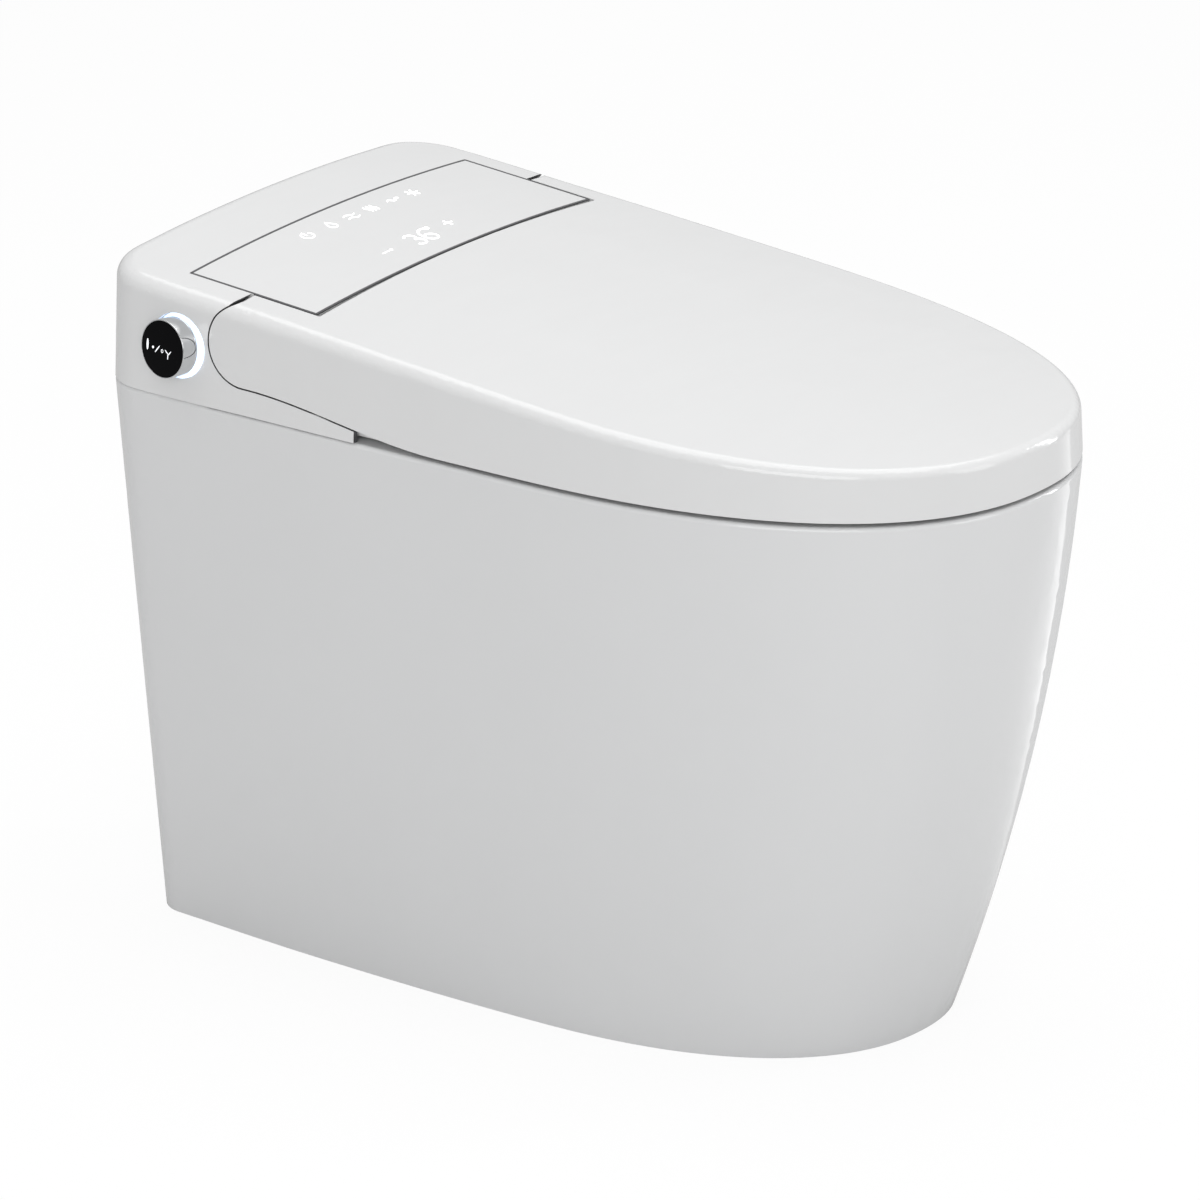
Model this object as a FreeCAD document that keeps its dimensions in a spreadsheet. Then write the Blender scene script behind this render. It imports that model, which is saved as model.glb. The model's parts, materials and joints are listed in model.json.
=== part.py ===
"""Smart toilet with a heated seat, as an assembly of separate pieces.

Millimetres. +Z is up, +X is to the right of someone facing the front, and the front looks along -Y.
The origin is on the floor, at the axis of the floor outlet. Depths are measured from the flat back of the
body towards the front.
"""
import FreeCAD, Part
import math
import os
import re
import Sketcher
from functools import lru_cache
from types import SimpleNamespace
from FreeCAD import Placement, Rotation, Vector

SIZES = [
    # body outline, at the floor, half way up and at the rim
    ("outlet_setback", 305, "back of the body to the floor outlet's axis"),
    ("rim_height", 420, "floor to the rim"),
    ("rim_length", 685.2, "back to nose at the rim"),
    ("rim_half_width", 194.2, "half width at the widest place of the rim"),
    ("rim_back_half_width", 191.2, "half width of the rim at the back"),
    ("rim_corner", 45, "radius of the rim's back corners"),
    ("rim_widest", 366, "depth of the rim's widest place"),
    ("waist_height", 210, "floor to the waist outline"),
    ("waist_length", 654.8, "back to nose at the waist"),
    ("waist_half_width", 172, "half width at the waist"),
    ("waist_back_half_width", 159.6, "half width of the waist at the back"),
    ("base_length", 590.7, "back to nose at the floor"),
    ("base_half_width", 148.7, "half width at the floor"),
    ("base_back_half_width", 128.2, "half width at the back at the floor"),
    ("base_corner", 30, "radius of the base's back corners"),
    ("base_widest", 351, "depth of the base's widest place"),
    ("nose_power", 2.42, "roundness of the nose along the length"),
    ("side_power", 2.22, "roundness of the nose across the width"),
    # ceramic
    ("skirt_wall", 12, "thickness of the skirt"),
    ("deck_thickness", 15, "thickness of the rim deck"),
    ("bowl_wall", 10, "thickness of the bowl"),
    ("rim_round", 3, "rounding of the rim's outer edge"),
    ("bowl_centre", 390, "depth of the bowl's centre"),
    ("bowl_half_length", 235, "half length of the bowl's mouth"),
    ("bowl_half_width", 135, "half width of the bowl's mouth"),
    ("sump_centre", 415, "depth of the sump's centre"),
    ("sump_half_length", 48, "half length of the sump's floor"),
    ("sump_half_width", 44, "half width of the sump's floor"),
    ("sump_floor", 122, "height of the sump's floor"),
    ("trap_bore", 25, "inner radius of the trapway"),
    ("trap_wall", 8, "wall of the trapway"),
    ("trap_inlet_height", 150, "height of the trapway's axis at the sump"),
    ("trap_rise_start", 325, "depth where the trapway starts to rise"),
    ("trap_back", 175, "depth of the trapway's falling leg"),
    ("trap_peak", 328.8, "height where rising and falling axes would meet"),
    ("trap_run_height", 63, "height of the low run to the outlet"),
    ("trap_bend", 45, "radius of the trapway's bends"),
    ("outlet_bend", 38, "radius of the bend above the outlet"),
    ("seal_width", 16, "width of the outlet seal"),
    ("seal_height", 22, "height of the outlet seal"),
    ("service_half_width", 130, "half width of the service opening in the deck"),
    ("service_front", 122, "front of the service opening"),
    ("service_back", 18, "back of the service opening"),
    ("wash_notch_half_width", 66, "half width of the notch for the wash unit"),
    ("hose_port_radius", 30, "radius of the hose port in the back wall"),
    ("hose_port_height", 95, "height of the hose port"),
    ("hose_port_x", 80, "place of the hose port"),
    # curved top, shared by the housing, the display and the lid
    ("top_back_depth", 8, "first depth of the top line"),
    ("top_back_height", 514.6, "height of the top line there"),
    ("top_middle_depth", 311, "second depth of the top line"),
    ("top_middle_height", 491.6, "height of the top line there"),
    ("top_nose_depth", 620, "third depth of the top line"),
    ("top_nose_height", 464.9, "height of the top line there"),
    ("crown_radius", 1953, "cross radius of the top"),
    ("top_round_back", 14, "rounding of the top edge at the back"),
    ("top_round_nose", 8, "rounding of the top edge at the nose"),
    ("side_lean", 2.5, "degrees that the upper sides lean in"),
    # lid
    ("rim_gap", 3.7, "gap between the rim and the lid's edge"),
    ("lid_wall", 3.2, "wall of the lid"),
    ("lid_lift_start", 310, "depth where the lid's edge starts to rise"),
    ("ear_depth", 137, "depth of the centre of the lid's round ear"),
    ("ear_height", 470, "height of the centre of the lid's round ear"),
    ("ear_radius", 29.8, "radius of the lid's round ear"),
    ("ear_gap", 1.2, "gap between the ear and the housing"),
    ("ear_top_angle", 70, "degrees from level where the ear's arc ends at the top"),
    ("liner_wall", 2.4, "thickness of the lid's liner"),
    ("lid_bumper_height", 3, "gap between the seat and the liner"),
    # hinge
    ("hinge_depth", 137.5, "depth of the hinge line"),
    ("hinge_height", 484.4, "height of the hinge line"),
    ("pin_radius", 4, "radius of the hinge pins"),
    ("pin_clearance", 0.06, "radial running clearance of the pins"),
    ("bush_radius", 6.5, "outer radius of the hinge bushes"),
    ("arm_inner", 164, "inner face of the seat's arms"),
    ("arm_outer", 171.5, "outer face of the seat's arms"),
    ("boss_inner", 172.5, "inner face of the lid's ear bosses"),
    ("boss_outer", 183, "outer end of the lid's ear bushes"),
    ("seat_boss_radius", 8.8, "radius of the seat arm's eye"),
    ("lid_boss_radius", 9.5, "radius of the lid's ear boss"),
    ("pin_inner", 150, "inner end of the hinge pins"),
    ("pin_head", 3, "thickness of the pins' heads"),
    ("pin_head_radius", 6.2, "radius of the pins' heads"),
    # housing
    ("housing_wall", 3, "wall of the housing"),
    ("tongue_half_width", 162, "half width of the housing's tongue"),
    ("tongue_front", 181, "depth of the tongue's front"),
    ("notch_gap", 1, "gap between the tongue and the lid"),
    ("arm_tip", 237, "depth of the tips of the housing's forward arms"),
    ("arm_wall", 4.5, "thickness of the forward arms"),
    ("chassis_wall", 4, "thickness of the chassis plate"),
    ("chassis_gap", 1, "gap between the chassis plate and the housing"),
    ("lid_sweep_radius", 20.8, "room round the hinge line for the lid's back edge"),
    ("gasket_height", 1, "height of the deck gasket"),
    ("gasket_margin", 3, "how far the gasket keeps from the openings' edges and the housing"),
    # display
    ("display_half_width", 161.3, "half width of the display cover"),
    ("display_back", 68, "depth of the display's back edge"),
    ("display_front", 179.3, "depth of the display's front edge"),
    ("display_wall", 3, "thickness of the display cover"),
    ("display_gap", 0.6, "gap round the display cover"),
    # seat
    ("seat_inset", 7.4, "rim outline to the seat's outer edge"),
    ("seat_back", 190, "depth of the seat's back edge"),
    ("seat_lift", 4, "height of the seat's bumpers"),
    ("seat_nose_height", 443, "height of the seat's top at its nose"),
    ("seat_back_height", 457, "height of the seat's top at its back"),
    ("seat_wall", 4, "wall of the seat's top shell"),
    ("seat_floor", 3, "wall of the seat's bottom shell"),
    ("seat_round", 8, "rounding of the seat's outer edge"),
    ("hole_centre", 418, "depth of the seat hole's centre"),
    ("hole_half_length", 152, "half length of the seat hole"),
    ("hole_half_width", 110, "half width of the seat hole"),
    ("heater_thickness", 0.8, "thickness of the heating sheet"),
    ("bumper_radius", 8, "radius of the seat and lid bumpers"),
    # knob
    ("knob_depth", 79.6, "depth of the knob's seat on the housing"),
    ("knob_height", 460, "height of the knob's seat"),
    ("knob_seat_x", 189.4, "distance of the knob's seat from the middle"),
    ("knob_yaw", 7, "degrees that the knob's axis turns to the back"),
    ("knob_pitch", 4, "degrees that the knob's axis rises"),
    ("knob_radius", 21.3, "radius of the knob"),
    ("knob_standoff", 3, "gap between the knob and the housing"),
    ("knob_length", 14, "length of the knob's rim"),
    ("halo_radius", 23.6, "outer radius of the lit ring"),
    ("knob_shaft_radius", 3, "radius of the knob's shaft"),
    ("seat_gap", 0.1, "gap left where one piece seats on another"),
    ("press_gap", 0.02, "radial gap of a pressed-in bush or spigot"),
    ("hole_gap", 0.2, "radial gap of a hole round a screw, fitting or ring"),
    ("hole_overrun", 10, "how far a cutting tool passes its piece"),
    ("side_gap", 0.3, "gap between neighbouring pieces that stay still"),
    ("eye_gap", 0.6, "gap over the seat arm's eye"),
    ("pad_gap", 0.3, "gap left under the bumpers"),
    ("housing_lift", 0.4, "gap between the housing and the rim"),
    ("bolt_gap", 0.3, "radial gap round the chassis bolts"),
    # washing
    ("nozzle_angle", 28, "degrees that the nozzles slope down"),
    ("nozzle_mouth_depth", 172, "depth of the nozzles' mouth"),
    ("nozzle_mouth_height", 414, "height of the nozzles' mouth"),
    ("nozzle_radius", 6.5, "radius of a nozzle"),
    ("nozzle_length", 118, "length of a nozzle"),
    ("nozzle_spacing", 18, "distance between the two nozzles"),
    ("slide_clearance", 0.08, "radial running clearance of the nozzles"),
    ("nozzle_wall", 2.4, "wall of a nozzle"),
    ("tip_length", 14, "length of a nozzle tip"),
    ("tip_spigot", 6, "how far a tip's spigot goes into its nozzle"),
    ("nozzle_case_width", 46, "width of the nozzle housing"),
    ("nozzle_case_height", 21, "height of the nozzle housing, square to its slope"),
    ("nozzle_stop", 4, "length of the nozzle housing behind the nozzles"),
    ("nozzle_foot", 8, "width of the nozzle housing's feet"),
    ("nozzle_foot_back", 88, "back of the nozzle housing's feet"),
    ("nozzle_foot_gap", 6, "service opening's front to the feet"),
    ("nozzle_foot_rise", 28, "nozzles' mouth to the feet's top"),
    ("tip_round", 3.9, "rounding of a nozzle tip"),
    ("nozzle_motor_radius", 10, "radius of a nozzle motor"),
    ("nozzle_motor_length", 11, "length of a nozzle motor"),
    ("jet_radius", 1, "radius of a nozzle's jet hole"),
    # drying
    ("blower_x", 62, "place of the dryer blower"),
    ("blower_depth", 92, "depth of the dryer blower's axis"),
    ("blower_radius", 26, "radius of the blower's case"),
    ("blower_height", 26, "height of the blower's case"),
    ("blower_wall", 2, "wall of the blower's case"),
    ("rotor_radius", 19, "radius of the dryer rotor"),
    ("rotor_height", 14, "height of the dryer rotor"),
    ("rotor_shaft", 2, "radius of the rotor's shaft"),
    ("duct_width", 24, "width of the dryer duct"),
    ("duct_wall", 1.6, "wall of the dryer duct"),
    ("duct_height", 19, "height of the duct where it joins the blower"),
    ("duct_back_gap", 0.7, "gap between the blower's mouth and the duct, closed by a lip"),
    ("rotor_floor", 2, "gap under the rotor and thickness of its disc"),
    ("rotor_hub", 5, "radius of the rotor's hub"),
    ("rotor_reach", 3, "how far the rotor's shaft goes into the motor"),
    ("blade_length", 6.5, "length of a rotor blade"),
    ("blade_inset", 0.5, "rotor's edge to its blades"),
    ("blade_thickness", 1.2, "thickness of a rotor blade"),
    ("dryer_motor_radius", 13, "radius of the dryer's motor"),
    ("dryer_motor_height", 16, "height of the dryer's motor"),
    ("lug_thickness", 2, "thickness of the dryer flap's lugs"),
    ("lug_wall", 1.6, "wall of the lugs round the flap's pin"),
    ("flap_setback", 2, "duct's front to the flap's pin"),
    ("flap_gap", 1.2, "gap between the duct and its flap"),
    ("flap_side_gap", 0.4, "gap at each side of the dryer flap"),
    ("duct_front", 175, "depth of the duct's front"),
    ("duct_mouth_low", 406, "bottom of the duct's mouth"),
    ("duct_mouth_high", 421, "top of the duct's mouth"),
    ("flap_thickness", 1.5, "thickness of the dryer flap"),
    ("flap_pin", 1.2, "radius of the dryer flap's pin"),
    # flushing and supply
    ("tank_x", -15, "place of the buffer tank"),
    ("tank_width", 190, "width of the buffer tank"),
    ("tank_back", 26, "back of the buffer tank"),
    ("tank_length", 88, "size of the buffer tank from back to front"),
    ("tank_bottom", 150, "bottom of the buffer tank"),
    ("tank_top", 402, "top of the buffer tank"),
    ("tank_wall", 3, "wall of the buffer tank"),
    ("tank_round", 12, "rounding of the buffer tank's upright edges"),
    ("post_radius", 5, "radius of the tank's stand-offs"),
    ("pump_radius", 30, "radius of the flush pump"),
    ("pump_height", 66, "height of the flush pump"),
    ("pump_foot_radius", 18, "radius of the flush pump's intake"),
    ("pump_foot_height", 8, "height of the flush pump's intake"),
    ("post_inset_across", 14, "side of the tank to its stand-offs"),
    ("post_inset_along", 12, "back and front of the tank to its stand-offs"),
    ("collar_height", 6, "height of the inlet's collar"),
    ("thread_depth", 0.8, "depth of the inlet's thread"),
    ("gland_length", 16, "length of the mains gland under the chassis"),
    ("gland_flange", 4, "width and thickness of the mains gland's flange"),
    ("box_round", 3, "rounding of the units' upright edges"),
    ("hose_radius", 9, "outer radius of the pump hose"),
    ("hose_bore", 6.5, "inner radius of the pump hose"),
    ("hose_x", -72, "place of the pump hose's upright run"),
    ("hose_top", 380, "height of the pump hose's upper run"),
    ("hose_bend", 24, "radius of the pump hose's lower bends"),
    ("hose_tight_bend", 16, "radius of the pump hose's two upper bends"),
    ("hose_clear", 6, "gap between the pump hose and the tank"),
    ("hose_rise", 110, "height that the hose climbs beside the tank"),
    ("hose_slant", 170, "height at which the hose has passed to the tank's front"),
    ("hose_reach", 28, "how far the hose runs over the bowl's back edge"),
    ("inlet_x", 108, "place of the water inlet"),
    ("inlet_depth", 40, "depth of the water inlet"),
    ("inlet_thread", 10.48, "radius of the inlet's thread, G 1/2"),
    ("inlet_bore", 6, "inner radius of the inlet"),
    ("inlet_collar", 14, "radius of the inlet's collar"),
    ("inlet_length", 22, "length of the inlet's thread"),
    ("gland_depth", 88, "depth of the mains gland"),
    ("gland_radius", 8, "radius of the mains gland"),
    ("gland_bore", 3.5, "radius of the mains gland's hole"),
    # fasteners
    ("bolt_x", 100, "place of the chassis bolts"),
    ("bolt_depth", 138, "depth of the chassis bolts"),
    ("bolt_radius", 4, "radius of the chassis bolts"),
    ("bolt_head", 7, "radius of the bolts' heads and nuts"),
    ("bolt_hole", 6, "radius of the ceramic's bolt holes"),
    ("screw_x", 172, "place of the housing screws"),
    ("screw_back", 22, "depth of the back housing screws"),
    ("screw_front", 122, "depth of the front housing screws"),
    ("screw_radius", 1.6, "radius of the housing screws"),
    ("screw_head", 3.4, "radius of the housing screws' heads"),
    ("screw_head_height", 2, "thickness of the housing screws' heads"),
    ("boss_half_width", 5, "half width of the bosses that the housing screws bite into"),
    ("bolt_head_height", 4, "thickness of the chassis bolts' heads"),
    ("nut_height", 6, "thickness of the chassis nuts"),
    ("bolt_spare", 12, "length of a chassis bolt under the deck"),
    ("thread_gap", 0.05, "radial gap of a thread or pocket"),
    ("screw_length", 12, "length of the housing screws"),
    # hinge drives
    ("drive_radius", 8.4, "radius of a hinge drive's output end"),
    ("drive_inner", 104, "inner end of a hinge drive"),
    ("drive_outer", 149.6, "outer end of a hinge drive"),
    ("drive_length", 34, "size of a hinge drive from back to front"),
    ("drive_bottom", 458, "bottom of a hinge drive"),
    ("drive_top", 482, "top of a hinge drive's case"),
    ("bracket_width", 30, "width of a drive bracket"),
]

# Plain box-shaped units that stand on the chassis: name, x of the middle, back depth, width, length, height
UNITS = [
    ("power_supply", 146, 20, 40, 44, 36),
    ("water_heater", -71, 72, 62, 48, 42),
    ("valve_block", -108, 18, 70, 42, 34),
    ("air_pump", 139.5, 72, 35, 32, 26),
]
for unit, *values in UNITS:
    for part_of_size, value in zip(("x", "back", "width", "length", "height"), values):
        SIZES.append((f"{unit}_{part_of_size}", value, f"{part_of_size} of the {unit.replace('_', ' ')}"))
SIZES += [
    ("board_x", 10, "place of the control board"),
    ("board_back", 12, "back of the control board"),
    ("board_width", 128, "width of the control board"),
    ("board_length", 42, "length of the control board"),
    ("board_thickness", 1.6, "thickness of the circuit boards"),
    ("board_post", 24, "height of the control board's posts"),
    ("board_post_radius", 3, "radius of the control board's posts"),
    ("board_post_inset", 5, "edge of the control board to its posts"),
    ("display_board_width", 140, "width of the display board"),
    ("display_board_back", 84, "back of the display board"),
    ("display_board_length", 80, "length of the display board"),
    ("deodoriser_width", 34, "width of the deodoriser"),
    ("deodoriser_back", 124, "back of the deodoriser"),
    ("deodoriser_length", 46, "length of the deodoriser"),
    ("deodoriser_height", 26, "height of the deodoriser"),
    ("encoder_radius", 9.5, "radius of the knob's encoder"),
    ("encoder_length", 14, "length of the knob's encoder"),
    ("knob_bush_radius", 9, "outer radius of the knob's bush"),
    ("knob_pad_radius", 26, "radius of the pad behind the lit ring"),
    ("knob_pad_depth", 7, "depth of the pad behind the lit ring"),
    ("halo_depth", 2, "depth of the lit ring's seat"),
    ("halo_proud", 0.2, "how far the lit ring stands out of the housing"),
    ("flange_width", 4, "width of the knob bush's flange"),
    ("flange_thickness", 2, "thickness of the knob bush's flange"),
    ("bush_recess", 0.2, "how far the knob's bush stops short of the lit ring"),
    ("rim_hollow", 7.7, "depth of the hollow in the knob's back"),
    ("halo_bore", 18, "inner radius of the lit ring"),
    ("face_radius", 20.5, "radius of the knob's black face"),
    ("face_thickness", 2, "thickness of the knob's black face"),
    ("face_proud", 0.3, "how far the face stands out of the rim"),
]


def make_sheet(document):
    """Write the driving sizes into the document's sheet and return them as numbers too."""
    sheet = document.addObject("Spreadsheet::Sheet", "Sizes")
    for row, (alias, value, meaning) in enumerate(SIZES, start=1):
        sheet.set(f"A{row}", alias)
        sheet.set(f"B{row}", str(value))
        sheet.set(f"C{row}", meaning)
        sheet.setAlias(f"B{row}", alias)
    document.recompute()
    return SimpleNamespace(**{alias: float(sheet.get(alias)) for alias, _, _ in SIZES})


doc = FreeCAD.newDocument("SmartToilet")
size = make_sheet(doc)
WORDS = re.compile(r"\b(" + "|".join(alias for alias, _, _ in SIZES) + r")\b")
NODES = []
BIG = 900.0


# ---------------------------------------------------------------- outlines and solids of the curved shapes

def at_depth(depth):
    """The Y of a place that lies this far in front of the back."""
    return size.outlet_setback - depth


def curve_through(x, low, middle, high):
    """The value at x of the parabola through three (x, value) pairs."""
    (a, p), (b, q), (c, r) = low, middle, high
    return (p * (x - b) * (x - c) / ((a - b) * (a - c))
            + q * (x - a) * (x - c) / ((b - a) * (b - c))
            + r * (x - a) * (x - b) / ((c - a) * (c - b)))


def outline_at(z):
    """The body outline's length, half width, back half width, corner and widest depth at a height."""
    def blend(base, waist, rim):
        return curve_through(z, (0, base), (size.waist_height, waist), (size.rim_height, rim))

    share = z / size.rim_height
    return SimpleNamespace(
        length=blend(size.base_length, size.waist_length, size.rim_length),
        half=blend(size.base_half_width, size.waist_half_width, size.rim_half_width),
        back=blend(size.base_back_half_width, size.waist_back_half_width, size.rim_back_half_width),
        corner=size.base_corner + share * (size.rim_corner - size.base_corner),
        widest=size.base_widest + share * (size.rim_widest - size.base_widest))


def inset(outline, wall):
    """The same outline, moved in by a wall."""
    return SimpleNamespace(
        length=outline.length - wall, half=outline.half - wall, back=outline.back - wall,
        corner=max(outline.corner - wall, 2.0), widest=outline.widest, start=wall)


def side_points(outline, start):
    """Points of the right-hand side, from the back corner's end to the nose."""
    first = start + outline.corner
    points = []
    for step in range(4):
        depth = first + (outline.widest - first) * step / 4
        bulge = ((outline.widest - depth) / outline.widest) ** 2
        points.append((outline.half + (outline.back - outline.half) * bulge, depth))
    for step in range(11):
        angle = math.pi / 2 * step / 10
        along = math.sin(angle) ** (2 / size.nose_power)
        across = max(math.cos(angle), 0.0) ** (2 / size.side_power)
        points.append((outline.half * across, outline.widest + (outline.length - outline.widest) * along))
    points[-1] = (0.0, outline.length)
    return points


def outline_wire(outline, z):
    """The closed outline at a height, as a right and a left half that meet at the back and the nose."""
    start, corner = getattr(outline, "start", 0.0), outline.corner
    sides = side_points(outline, start)
    flat = sides[0][0] - corner
    places = [(flat * share, start) for share in (0.0, 0.4, 0.75, 0.92)]
    for step in range(6):
        turn = math.radians(90 * step / 6)
        places.append((flat + corner * math.sin(turn), start + corner - corner * math.cos(turn)))
    halves = []
    for side in (1, -1):
        run = [Vector(side * x, at_depth(depth), z) for x, depth in places + sides]
        curve = Part.BSplineCurve()
        curve.interpolate(Points=run, InitialTangent=Vector(side, 0, 0), FinalTangent=Vector(-side, 0, 0))
        halves.append(curve.toShape())
    return Part.Wire(halves)


def prism(wire, bottom, top):
    """A flat wire drawn at the bottom height, raised to the top height."""
    return Part.Face(wire).extrude(Vector(0, 0, top - bottom))


def body_loft(wall, bottom, top):
    """The skirt's shape, moved in by a wall, from one height to another."""
    heights = [bottom + (top - bottom) * step / 4 for step in range(5)]
    return Part.makeLoft([outline_wire(inset(outline_at(z), wall), z) for z in heights], True, False)


def top_height(depth):
    """Height of the top's middle line at a depth."""
    return curve_through(depth, (size.top_back_depth, size.top_back_height),
                         (size.top_middle_depth, size.top_middle_height),
                         (size.top_nose_depth, size.top_nose_height))


def under_top(lowered):
    """Everything under the crowned top, which is lowered by this much."""
    wires = []
    half = size.rim_half_width + 60
    sag = half ** 2 / (2 * size.crown_radius)
    for depth in (-40, size.top_middle_depth, size.rim_length + 40):
        y, middle = at_depth(depth), top_height(depth) - lowered
        corners = [Vector(-half, y, 300), Vector(half, y, 300), Vector(half, y, middle - sag)]
        arc = Part.Arc(corners[2], Vector(0, y, middle), Vector(-half, y, middle - sag)).toShape()
        lines = [Part.makeLine(a, b) for a, b in zip(corners, corners[1:])]
        wires.append(Part.Wire([*lines, arc, Part.makeLine(Vector(-half, y, middle - sag), corners[0])]))
    return Part.makeLoft(wires, True, False)


@lru_cache(maxsize=None)
def upper_envelope(wall, rounded=True, bottom=None):
    """The shape shared by the housing, display and lid, moved in by a wall."""
    rim = inset(outline_at(size.rim_height), wall)
    low = size.rim_height - 20 if bottom is None else bottom
    high = size.top_back_height + 20
    lean = math.tan(math.radians(size.side_lean))
    wires = []
    for z in (low, high):
        drawn_in = lean * (z - size.rim_height)
        ring = inset(rim, drawn_in)
        ring.start, ring.corner = wall, rim.corner
        wires.append(outline_wire(ring, z))
    solid = Part.makeLoft(wires, True, True).common(under_top(wall))
    if not rounded:
        return solid
    back, nose = size.top_round_back - wall, size.top_round_nose - wall
    return round_top(solid.Solids[0], back, nose)


def round_top(solid, back, nose):
    """Round the top edge, wide at the back and narrow at the nose."""
    blank = doc.addObject("Part::Feature", "TopBlank")
    blank.Shape = solid
    rounding = doc.addObject("Part::Fillet", "TopRound")
    rounding.Base = blank
    picks = []
    for number, edge in enumerate(blank.Shape.Edges, start=1):
        if edge.BoundBox.ZMin > size.rim_height + 15:
            from_back = edge.valueAt(edge.FirstParameter).y > edge.valueAt(edge.LastParameter).y
            picks.append((number, back, nose) if from_back else (number, nose, back))
    rounding.Edges = picks
    doc.recompute()
    shape = rounding.Shape.Solids[0].copy()
    doc.removeObject(rounding.Name)
    doc.removeObject(blank.Name)
    return shape


# ---------------------------------------------------------------- plain solids in the side view

def spot(depth, z, x=0.0):
    """A point from its depth, its height and its place across."""
    return Vector(x, at_depth(depth), z)


def block(low_x, high_x, back, front, low, high):
    """A box between two places across, two depths and two heights."""
    return Part.makeBox(high_x - low_x, front - back, high - low, Vector(low_x, at_depth(front), low))


def rod(low_x, high_x, depth, z, radius):
    """A round bar along X."""
    return Part.makeCylinder(radius, high_x - low_x, spot(depth, z, low_x), Vector(1, 0, 0))


def across(edges, low_x=-BIG, high_x=BIG):
    """A closed outline in the side view, made into a solid across the width."""
    face = Part.Face(Part.Wire(edges))
    face.translate(Vector(low_x, 0, 0))
    return face.extrude(Vector(high_x - low_x, 0, 0))


def chain(points):
    """Straight edges through side-view points given as (depth, height)."""
    return [Part.makeLine(spot(*a), spot(*b)) for a, b in zip(points, points[1:])]


def side_span(side, inner, outer):
    """The low and high X between two distances from the middle, on one side."""
    return (inner, outer) if side > 0 else (-outer, -inner)


def ear_arc(radius):
    """The arc of the lid's round ear, from its lowest point round the back to its top end."""
    turn = math.radians(size.ear_top_angle)
    low = spot(size.ear_depth, size.ear_height - radius)
    back = spot(size.ear_depth - radius, size.ear_height)
    end = (size.ear_depth - radius * math.cos(turn), size.ear_height + radius * math.sin(turn))
    return Part.Arc(low, back, spot(*end)).toShape(), end


def lid_side(grown):
    """The lid's whole side view, grown by a gap: its edge, its round ear, and open above."""
    radius = size.ear_radius + grown
    arc, end = ear_arc(radius)
    low, high = size.rim_height + size.rim_gap - grown, size.ear_height - radius
    start, stop = size.lid_lift_start, size.ear_depth
    reach = (start - stop) * 0.35
    rise = Part.BezierCurve()
    rise.setPoles([spot(start, low), spot(start - reach, low), spot(stop + reach, high), spot(stop, high)])
    far, sky = size.rim_length + 60, size.top_back_height + 60
    above = chain([end, (end[0], sky), (far, sky), (far, low), (start, low)])
    return across([rise.toShape(), arc, *above])


def lid_space(radius):
    """The room inside the lid: in front of the ear's inner arc and open below."""
    arc, end = ear_arc(radius)
    far, sky, floor = size.rim_length + 60, size.top_back_height + 60, size.rim_height - 100
    rest = chain([end, (end[0], sky), (far, sky), (far, floor), (size.ear_depth, floor),
                  (size.ear_depth, size.ear_height - radius)])
    return across([arc, *rest])


def rounded_path(points, radii):
    """A wire through points with an arc of its own radius at each inner point."""
    edges, last = [], points[0]
    for before, corner, after, radius in zip(points, points[1:], points[2:], radii):
        a, b = (before - corner).normalize(), (after - corner).normalize()
        half = a.getAngle(b) / 2
        reach = radius / math.tan(half)
        middle = corner + (a + b).normalize() * (radius / math.sin(half) - radius)
        first, final = corner + a * reach, corner + b * reach
        edges += [Part.makeLine(last, first), Part.Arc(first, middle, final).toShape()]
        last = final
    return Part.Wire([*edges, Part.makeLine(last, points[-1])])


def tube(path, radius):
    """A round bar along a path."""
    edge = path.Edges[0]
    start = edge.valueAt(edge.FirstParameter)
    ring = Part.Wire(Part.makeCircle(radius, start, edge.tangentAt(edge.FirstParameter)))
    return path.makePipeShell([ring], True, True)


def oval(centre, half_length, half_width, z):
    """A flat oval, longer from back to front."""
    curve = Part.Ellipse(spot(centre + half_length, z), spot(centre, z, half_width), spot(centre, z))
    return Part.Wire(curve.toShape())


def keep(shape, label):
    """Add a finished shape to the document as a node of its own."""
    feature = doc.addObject("Part::Feature", label)
    feature.Shape = shape
    feature.Label = label
    NODES.append(feature)
    return feature


# ---------------------------------------------------------------- ceramic

def bowl_shape(wall, top):
    """The bowl's inside, grown by a wall: an oval mouth that narrows to the sump."""
    levels = 7
    floor = size.sump_floor - wall
    rings = []
    for step in range(levels):
        z = floor + (size.rim_height - floor) * step / (levels - 1)
        share = max(0.0, min(1.0, (z - size.sump_floor) / (size.rim_height - size.sump_floor)))
        open_share = math.sin(math.pi / 2 * share) ** 2
        centre = size.sump_centre + (size.bowl_centre - size.sump_centre) * open_share
        length = size.sump_half_length + (size.bowl_half_length - size.sump_half_length) * open_share
        width = size.sump_half_width + (size.bowl_half_width - size.sump_half_width) * open_share
        rings.append(oval(centre, length + wall, width + wall, z))
    solid = Part.makeLoft(rings, True, False)
    if top > size.rim_height:
        mouth = oval(size.bowl_centre, size.bowl_half_length + wall, size.bowl_half_width + wall,
                     size.rim_height - 1)
        solid = solid.fuse(prism(mouth, size.rim_height - 1, top))
    return solid


def trap_path():
    """The trapway's line: level out of the sump, up, over the weir, down and forward to the outlet."""
    rise = size.trap_peak
    points = [spot(size.sump_centre - 20, size.trap_inlet_height),
              spot(size.trap_rise_start, size.trap_inlet_height),
              spot(size.trap_back, rise), spot(size.trap_back, size.trap_run_height),
              spot(size.outlet_setback, size.trap_run_height), spot(size.outlet_setback, 0)]
    return rounded_path(points, [size.trap_bend + 15, size.trap_bend, size.trap_bend, size.outlet_bend])


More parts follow.
